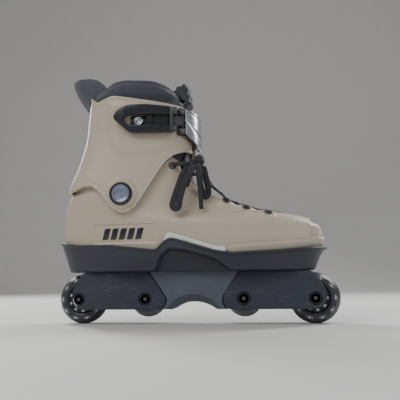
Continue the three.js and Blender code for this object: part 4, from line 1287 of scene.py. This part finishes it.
def add_frame():
    """The H-shaped block with its two thin walls and deck, cut by the scooped grinding arch."""
    body = outlined(rounded(BLOCK, 3, 5), -FRAME_HALF, FRAME_HALF)
    for side in (-1, 1):
        wall = outlined(rounded(WALL, 3, 4), *sorted((side * CHANNEL_HALF, side * WALL_HALF)))
        cut(body, wall, operation="UNION")
    channel = [(-110, DECK_BOTTOM), (-110, FRAME_TOP), (110, FRAME_TOP), (110, DECK_BOTTOM)]
    cut(body, outlined(channel, -CHANNEL_HALF - 1, CHANNEL_HALF + 1), operation="UNION")
    for edge in (-1, 1):
        wheel_well = [(edge * 33, 10), (edge * 33, DECK_BOTTOM), (edge * 60, DECK_BOTTOM), (edge * 60, 10)]
        cut(body, outlined(wheel_well, -CHANNEL_HALF, CHANNEL_HALF))
    stations = ((-24, 35.0, 36), (-19.5, 31.5, 32.4), (-14, 26, 25.7),
                (14, 26, 25.7), (19.5, 31.5, 32.4), (24, 35.0, 36))
    cut(body, lofted([arch_section(y, half, apex) for y, half, apex in stations]))
    for centre in AXLES.values():
        cut(body, rod(AXLE_HOLE, centre.x, AXLE_Z, -30, 30, 24))
    closed(body)
    soften(body, 0.7, 2, 30)
    smooth(body, 30)
    done(named(body, "grind_frame", BLOCK_GREY), "boot", "block", "frame")


def add_side_plates():
    """Bolted slide plates with counterbores, on both sides of both ends."""
    for end, outline, axles in (("rear", REAR_PLATE, ("rear_outer", "rear_inner")),
                                ("front", FRONT_PLATE, ("front_inner", "front_outer"))):
        plate = outlined(rounded(outline, 6, 7), -WALL_HALF - 0.3, -FRAME_HALF)
        for axle in axles:
            x, floor = AXLES[axle].x, -FRAME_HALF + COUNTERBORE["depth"]
            cut(plate, rod(COUNTERBORE["radius"], x, AXLE_Z, floor, -FRAME_HALF - 4, 56))
            cut(plate, rod(AXLE_HOLE, x, AXLE_Z, -30, -10, 24))
        closed(plate)
        soften(plate, 1.0, 3, 30)
        for side, mirror in (("lateral", False), ("medial", True)):
            name = f"{end}_slide_plate_{side}"
            made = named(copy_of(plate, name, mirror=mirror), name, PLATE)
            smooth(made, 30)
            done(made, "boot", "side_plate", f"{end}_side_plate_{side}")
        bpy.data.objects.remove(plate)


def add_axles():
    """Black socket heads in the counterbores, on the bolts' heads and the nuts alike."""
    seat, radius = -FRAME_HALF + AXLE_HEAD["depth"], AXLE_HEAD["radius"]
    face = seat - AXLE_HEAD["thickness"]
    section = [(0.01, seat), (radius, seat), (radius, face), (0.01, face)]
    head = turned(rounded(section, 0.6, 3), 0, AXLE_Z, 40)
    cut(head, rod(AXLE_HEAD["socket"], 0, AXLE_Z, seat - 0.7, seat - 4, 6))
    for name, centre in AXLES.items():
        for node, mirror in (("bolt", False), ("nut", True)):
            made = copy_of(head, f"{name}_axle_{node}_head", move=(centre.x, 0, 0), mirror=mirror)
            smooth(named(made, made.name, BLACK_STEEL), 40)
            done(made, "boot", "black_steel")
    bpy.data.objects.remove(head)


add_frame()
add_side_plates()
add_axles()


# ---- wheels ----
WHEEL_RADIUS, CORE_RADIUS = 29, 16
INNER_WHEEL_RADIUS, BEARING_SEAT = 21.2, 11.3
WHEEL_HALF = 12.0
SPOKE_COUNT = 9


def wheel_profile(radius, bore):
    """The section of a wheel's ring: a narrow tread, sloping shoulders and straight flanks."""
    half = WHEEL_HALF
    flank = bore + 0.62 * (radius - bore)
    return rounded([(bore, -half), (flank, -half), (radius - 3.2, -half * 0.78), (radius, -4.6),
                    (radius, 4.6), (radius - 3.2, half * 0.78), (flank, half), (bore, half)], 5, 6)


def add_bearing(name, x, body):
    """A shielded bearing on each side: races, a stepped shield and its lip."""
    face = -WHEEL_HALF
    profile = [(4, face + 7), (4, face + 0.2), (4.3, face), (5.8, face), (6, face + 0.5),
               (9, face + 0.5), (9.2, face), (10.7, face), (11, face + 0.3), (11, face + 7)]
    ring = turned(profile, x, AXLE_Z, 40)
    for side, mirror in (("lateral", False), ("medial", True)):
        node = f"{name}_bearing_{side}"
        made = named(copy_of(ring, node + "_shielded", mirror=mirror), node + "_shielded", STEEL)
        smooth(made)
        done(made, body, "steel", node)
    bpy.data.objects.remove(ring)


def add_hub(name, x, body):
    """A moulded core with a sunk web on each face, crossed by nine spokes."""
    web = 2.2
    seat, half = BEARING_SEAT, WHEEL_HALF
    section = [(seat, -half), (12.4, -half), (12.8, -half + web), (14.4, -half + web), (14.8, -half),
               (15.7, -half), (15.7, half), (14.8, half), (14.4, half - web), (12.8, half - web),
               (12.4, half), (seat, half), (seat, 4.7), (8.5, 4.7), (8.5, -4.7), (seat, -4.7)]
    core = turned(section, x, AXLE_Z, 72)
    spokes = []
    for i in range(SPOKE_COUNT):
        angle = 2 * math.pi * i / SPOKE_COUNT
        for side in (-1, 1):
            spoke = outlined(rounded([(11.9, -1.0), (15.1, -1.9), (15.1, 1.9), (11.9, 1.0)], 0.4, 2),
                             *sorted((side * 9.4, side * 11.8)))
            turn = Matrix.Rotation(angle, 4, "Y")
            spoke.data.transform(Matrix.Translation(Vector((x, 0, AXLE_Z)) * MM) @ turn)
            spokes.append(spoke)
    for piece, title, finish, nodes in ((core, "_wheel_core", HUB, [name + "_hub"]),
                                        (joined(name + "_spokes", spokes), "_wheel_spokes", SPOKE, [])):
        smooth(named(piece, name + title, finish), 35)
        done(piece, body, "hub", *nodes)


def add_wheels():
    """Two big wheels on cores and two small solid ones, each with its bearings."""
    for end in ("rear", "front"):
        outer, inner = AXLES[end + "_outer"], AXLES[end + "_inner"]
        body = end + "_outer_wheel"
        tyre = turned(wheel_profile(WHEEL_RADIUS, CORE_RADIUS), outer.x, AXLE_Z, 96)
        finish = urethane(end + "_tyre", (0.034, 0.037, 0.047), WHEEL_RADIUS, (outer.x, 0, AXLE_Z), True)
        smooth(named(tyre, end + "_urethane", finish), 40)
        done(tyre, body, "tyre", end + "_tyre")
        add_hub(end, outer.x, body)
        add_bearing(end + "_wheel", outer.x, body)
        body = end + "_inner_wheel"
        tyre = turned(wheel_profile(INNER_WHEEL_RADIUS, BEARING_SEAT), inner.x, AXLE_Z, 72)
        finish = urethane(end + "_inner_tyre", (0.12, 0.125, 0.14), INNER_WHEEL_RADIUS,
                          (inner.x, 0, AXLE_Z), False)
        smooth(named(tyre, end + "_inner_urethane", finish), 40)
        done(tyre, body, "grey_tyre", end + "_inner_wheel")
        add_bearing(end + "_inner_wheel", inner.x, body)


add_wheels()


# ---- the held lace and the knot ----
HELD_WIDTH, CROSSING_WIDTH, HELD_THICKNESS = 5.4, 5.0, 2.8
TONGUE_LINE = [(5, 159), (19.4, 147.5), (35, 139), (48, 132.5), (68, 126), (82, 123), (95, 122)]


def over_tongue(x):
    """How high a lace lies where it crosses the tongue."""
    across, heights = zip(*TONGUE_LINE)
    return np.interp(x, across, heights) + 3.0


def lace_stop(i, side):
    """Where the lace dives into an eyelet, on a side of the throat, just over its rim."""
    x, z = EYELETS[i]
    point, outward = side_point(SHELL, np.array(float(x)), np.array(float(z)), 3.0)
    mirror = np.array([1, -side, 1])
    return point * mirror, outward * mirror


def add_held_lace():
    """Crossing runs from eyelet to eyelet, the last two running up to the knot."""
    runs = []
    for i in range(len(EYELETS) - 1):
        for side, lift in ((-1, 0.0), (1, 1.4)):
            start, _ = lace_stop(i, side)
            end, _ = lace_stop(i + 1, -side)
            middle = (start + end) / 2
            middle[2] = max(over_tongue(middle[0]), middle[2] + 1) + lift
            quarter = [(start * 3 + end) / 4, (start + end * 3) / 4]
            for point in quarter:
                point[2] = max(point[2] + 1.2, over_tongue(point[0]) + lift * 0.5 - 1)
            inward = np.array([0, -np.sign(start[1]) * 1.5, -2.5])
            inward_end = np.array([0, -np.sign(end[1]) * 1.5, -2.5])
            points = [start + inward, start, quarter[0], middle, quarter[1], end, end + inward_end]
            runs.append(ribbon("run", points, (0.35, 0, 1), CROSSING_WIDTH, HELD_THICKNESS)[0])
    bar_start, _ = lace_stop(0, -1)
    bar_end, _ = lace_stop(0, 1)
    bar = [bar_start, (bar_start + bar_end) / 2 + np.array([2, 0, 3.0]), bar_end]
    runs.append(ribbon("run", bar, (0.2, 0, 1), HELD_WIDTH, HELD_THICKNESS)[0])
    knot = np.array(KNOT, float)
    lateral, _ = lace_stop(2, -1)
    medial, _ = lace_stop(2, 1)
    rising = [lateral, lateral + (-6, 3, 7), (20, -19, 162), (13, -21, 175), knot + (1, 3, -4)]
    runs.append(ribbon("run", rising, (1, -0.3, 0.6), HELD_WIDTH, HELD_THICKNESS)[0])
    rising = [medial, medial + (-6, -6, 9), (21, 4, 163), (14, -9, 176), knot + (1, 6, -1)]
    runs.append(ribbon("run", rising, (1, 0, 0.6), HELD_WIDTH, HELD_THICKNESS)[0])
    ankle, _ = side_point(SHELL, np.array(ANKLE_EYELET[0]), np.array(ANKLE_EYELET[1]), 2.6)
    near_side = [ankle, ankle + (5, -1, 1), (-10, -36, 184), (-2, -31, 186), knot + (-4, 0, 1)]
    runs.append(ribbon("run", near_side, (0, -1, 0.3), HELD_WIDTH, HELD_THICKNESS)[0])
    far = ankle * np.array([1, -1, 1])
    far_side = [far, far + (6, 0, 1), (-4, 27, 183), (0.5, 14, 185), (3.5, 0, 186), (6, -15, 187),
                knot + (-1, 5, 1)]
    runs.append(ribbon("run", far_side, (0.8, 0.3, 0.5), HELD_WIDTH, HELD_THICKNESS)[0])
    lace = named(joined("held_lace", runs), "held_lace", LACE)
    done(lace, "boot", "lace", "lace_lattice")


def add_knot():
    """A bow's knot: the lace wrapped twice round a tight core."""
    centre = np.array(KNOT, float)
    turns = np.linspace(0, 2 * math.pi, 22)
    parts = []
    for tilt, reach, width in ((0.25, (5.4, 7.2), 7.5), (-0.6, (5.8, 6.4), 6.5), (1.2, (6.2, 6.0), 6.0)):
        ring = []
        for turn in turns:
            along, across = reach[0] * math.cos(turn), reach[1] * math.sin(turn)
            ring.append(centre + (along * math.cos(tilt), across * 0.95,
                                  along * math.sin(tilt) + across * 0.28))
        outward = [tuple(np.array(p) - centre) for p in ring]
        parts.append(ribbon("wrap", ring, outward, width, 2.4, spacing=0.8)[0])
    bpy.ops.object.select_all(action="DESELECT")
    bpy.ops.mesh.primitive_ico_sphere_add(subdivisions=4, radius=1)
    core = bpy.context.object
    points = np.array([v.co for v in core.data.vertices])
    folds = 1 + 0.07 * np.sin(points @ np.array([7.0, 5.0, 3.0]))
    folds += 0.05 * np.sin(points @ np.array([-4.0, 9.0, 6.0]))
    shaped = points * folds[:, None] * np.array([5.6, 7.0, 8.0]) + centre - (0, 0, 1.5)
    core.data.vertices.foreach_set("co", (shaped * MM).astype(np.float32).ravel())
    core.data.uv_layers.remove(core.data.uv_layers.active)
    smooth(core, 60)
    parts.append(core)
    knot = named(joined("bow_knot", parts), "bow_knot", LACE)
    done(knot, "boot", "lace", "lace_knot")


add_held_lace()
add_knot()


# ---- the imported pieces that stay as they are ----
def finish_kept_nodes():
    """Bolts, nuts and the lever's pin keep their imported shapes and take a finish."""
    finishes = {"pivot_nut": STEEL, "lever_pin": BLACK_STEEL, "frame_bolt": BLACK_STEEL, "axle": BLACK_STEEL}
    for name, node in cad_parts.items():
        for part, finish in finishes.items():
            if part in name:
                node.data.materials.clear()
                node.data.materials.append(finish.material)


finish_kept_nodes()
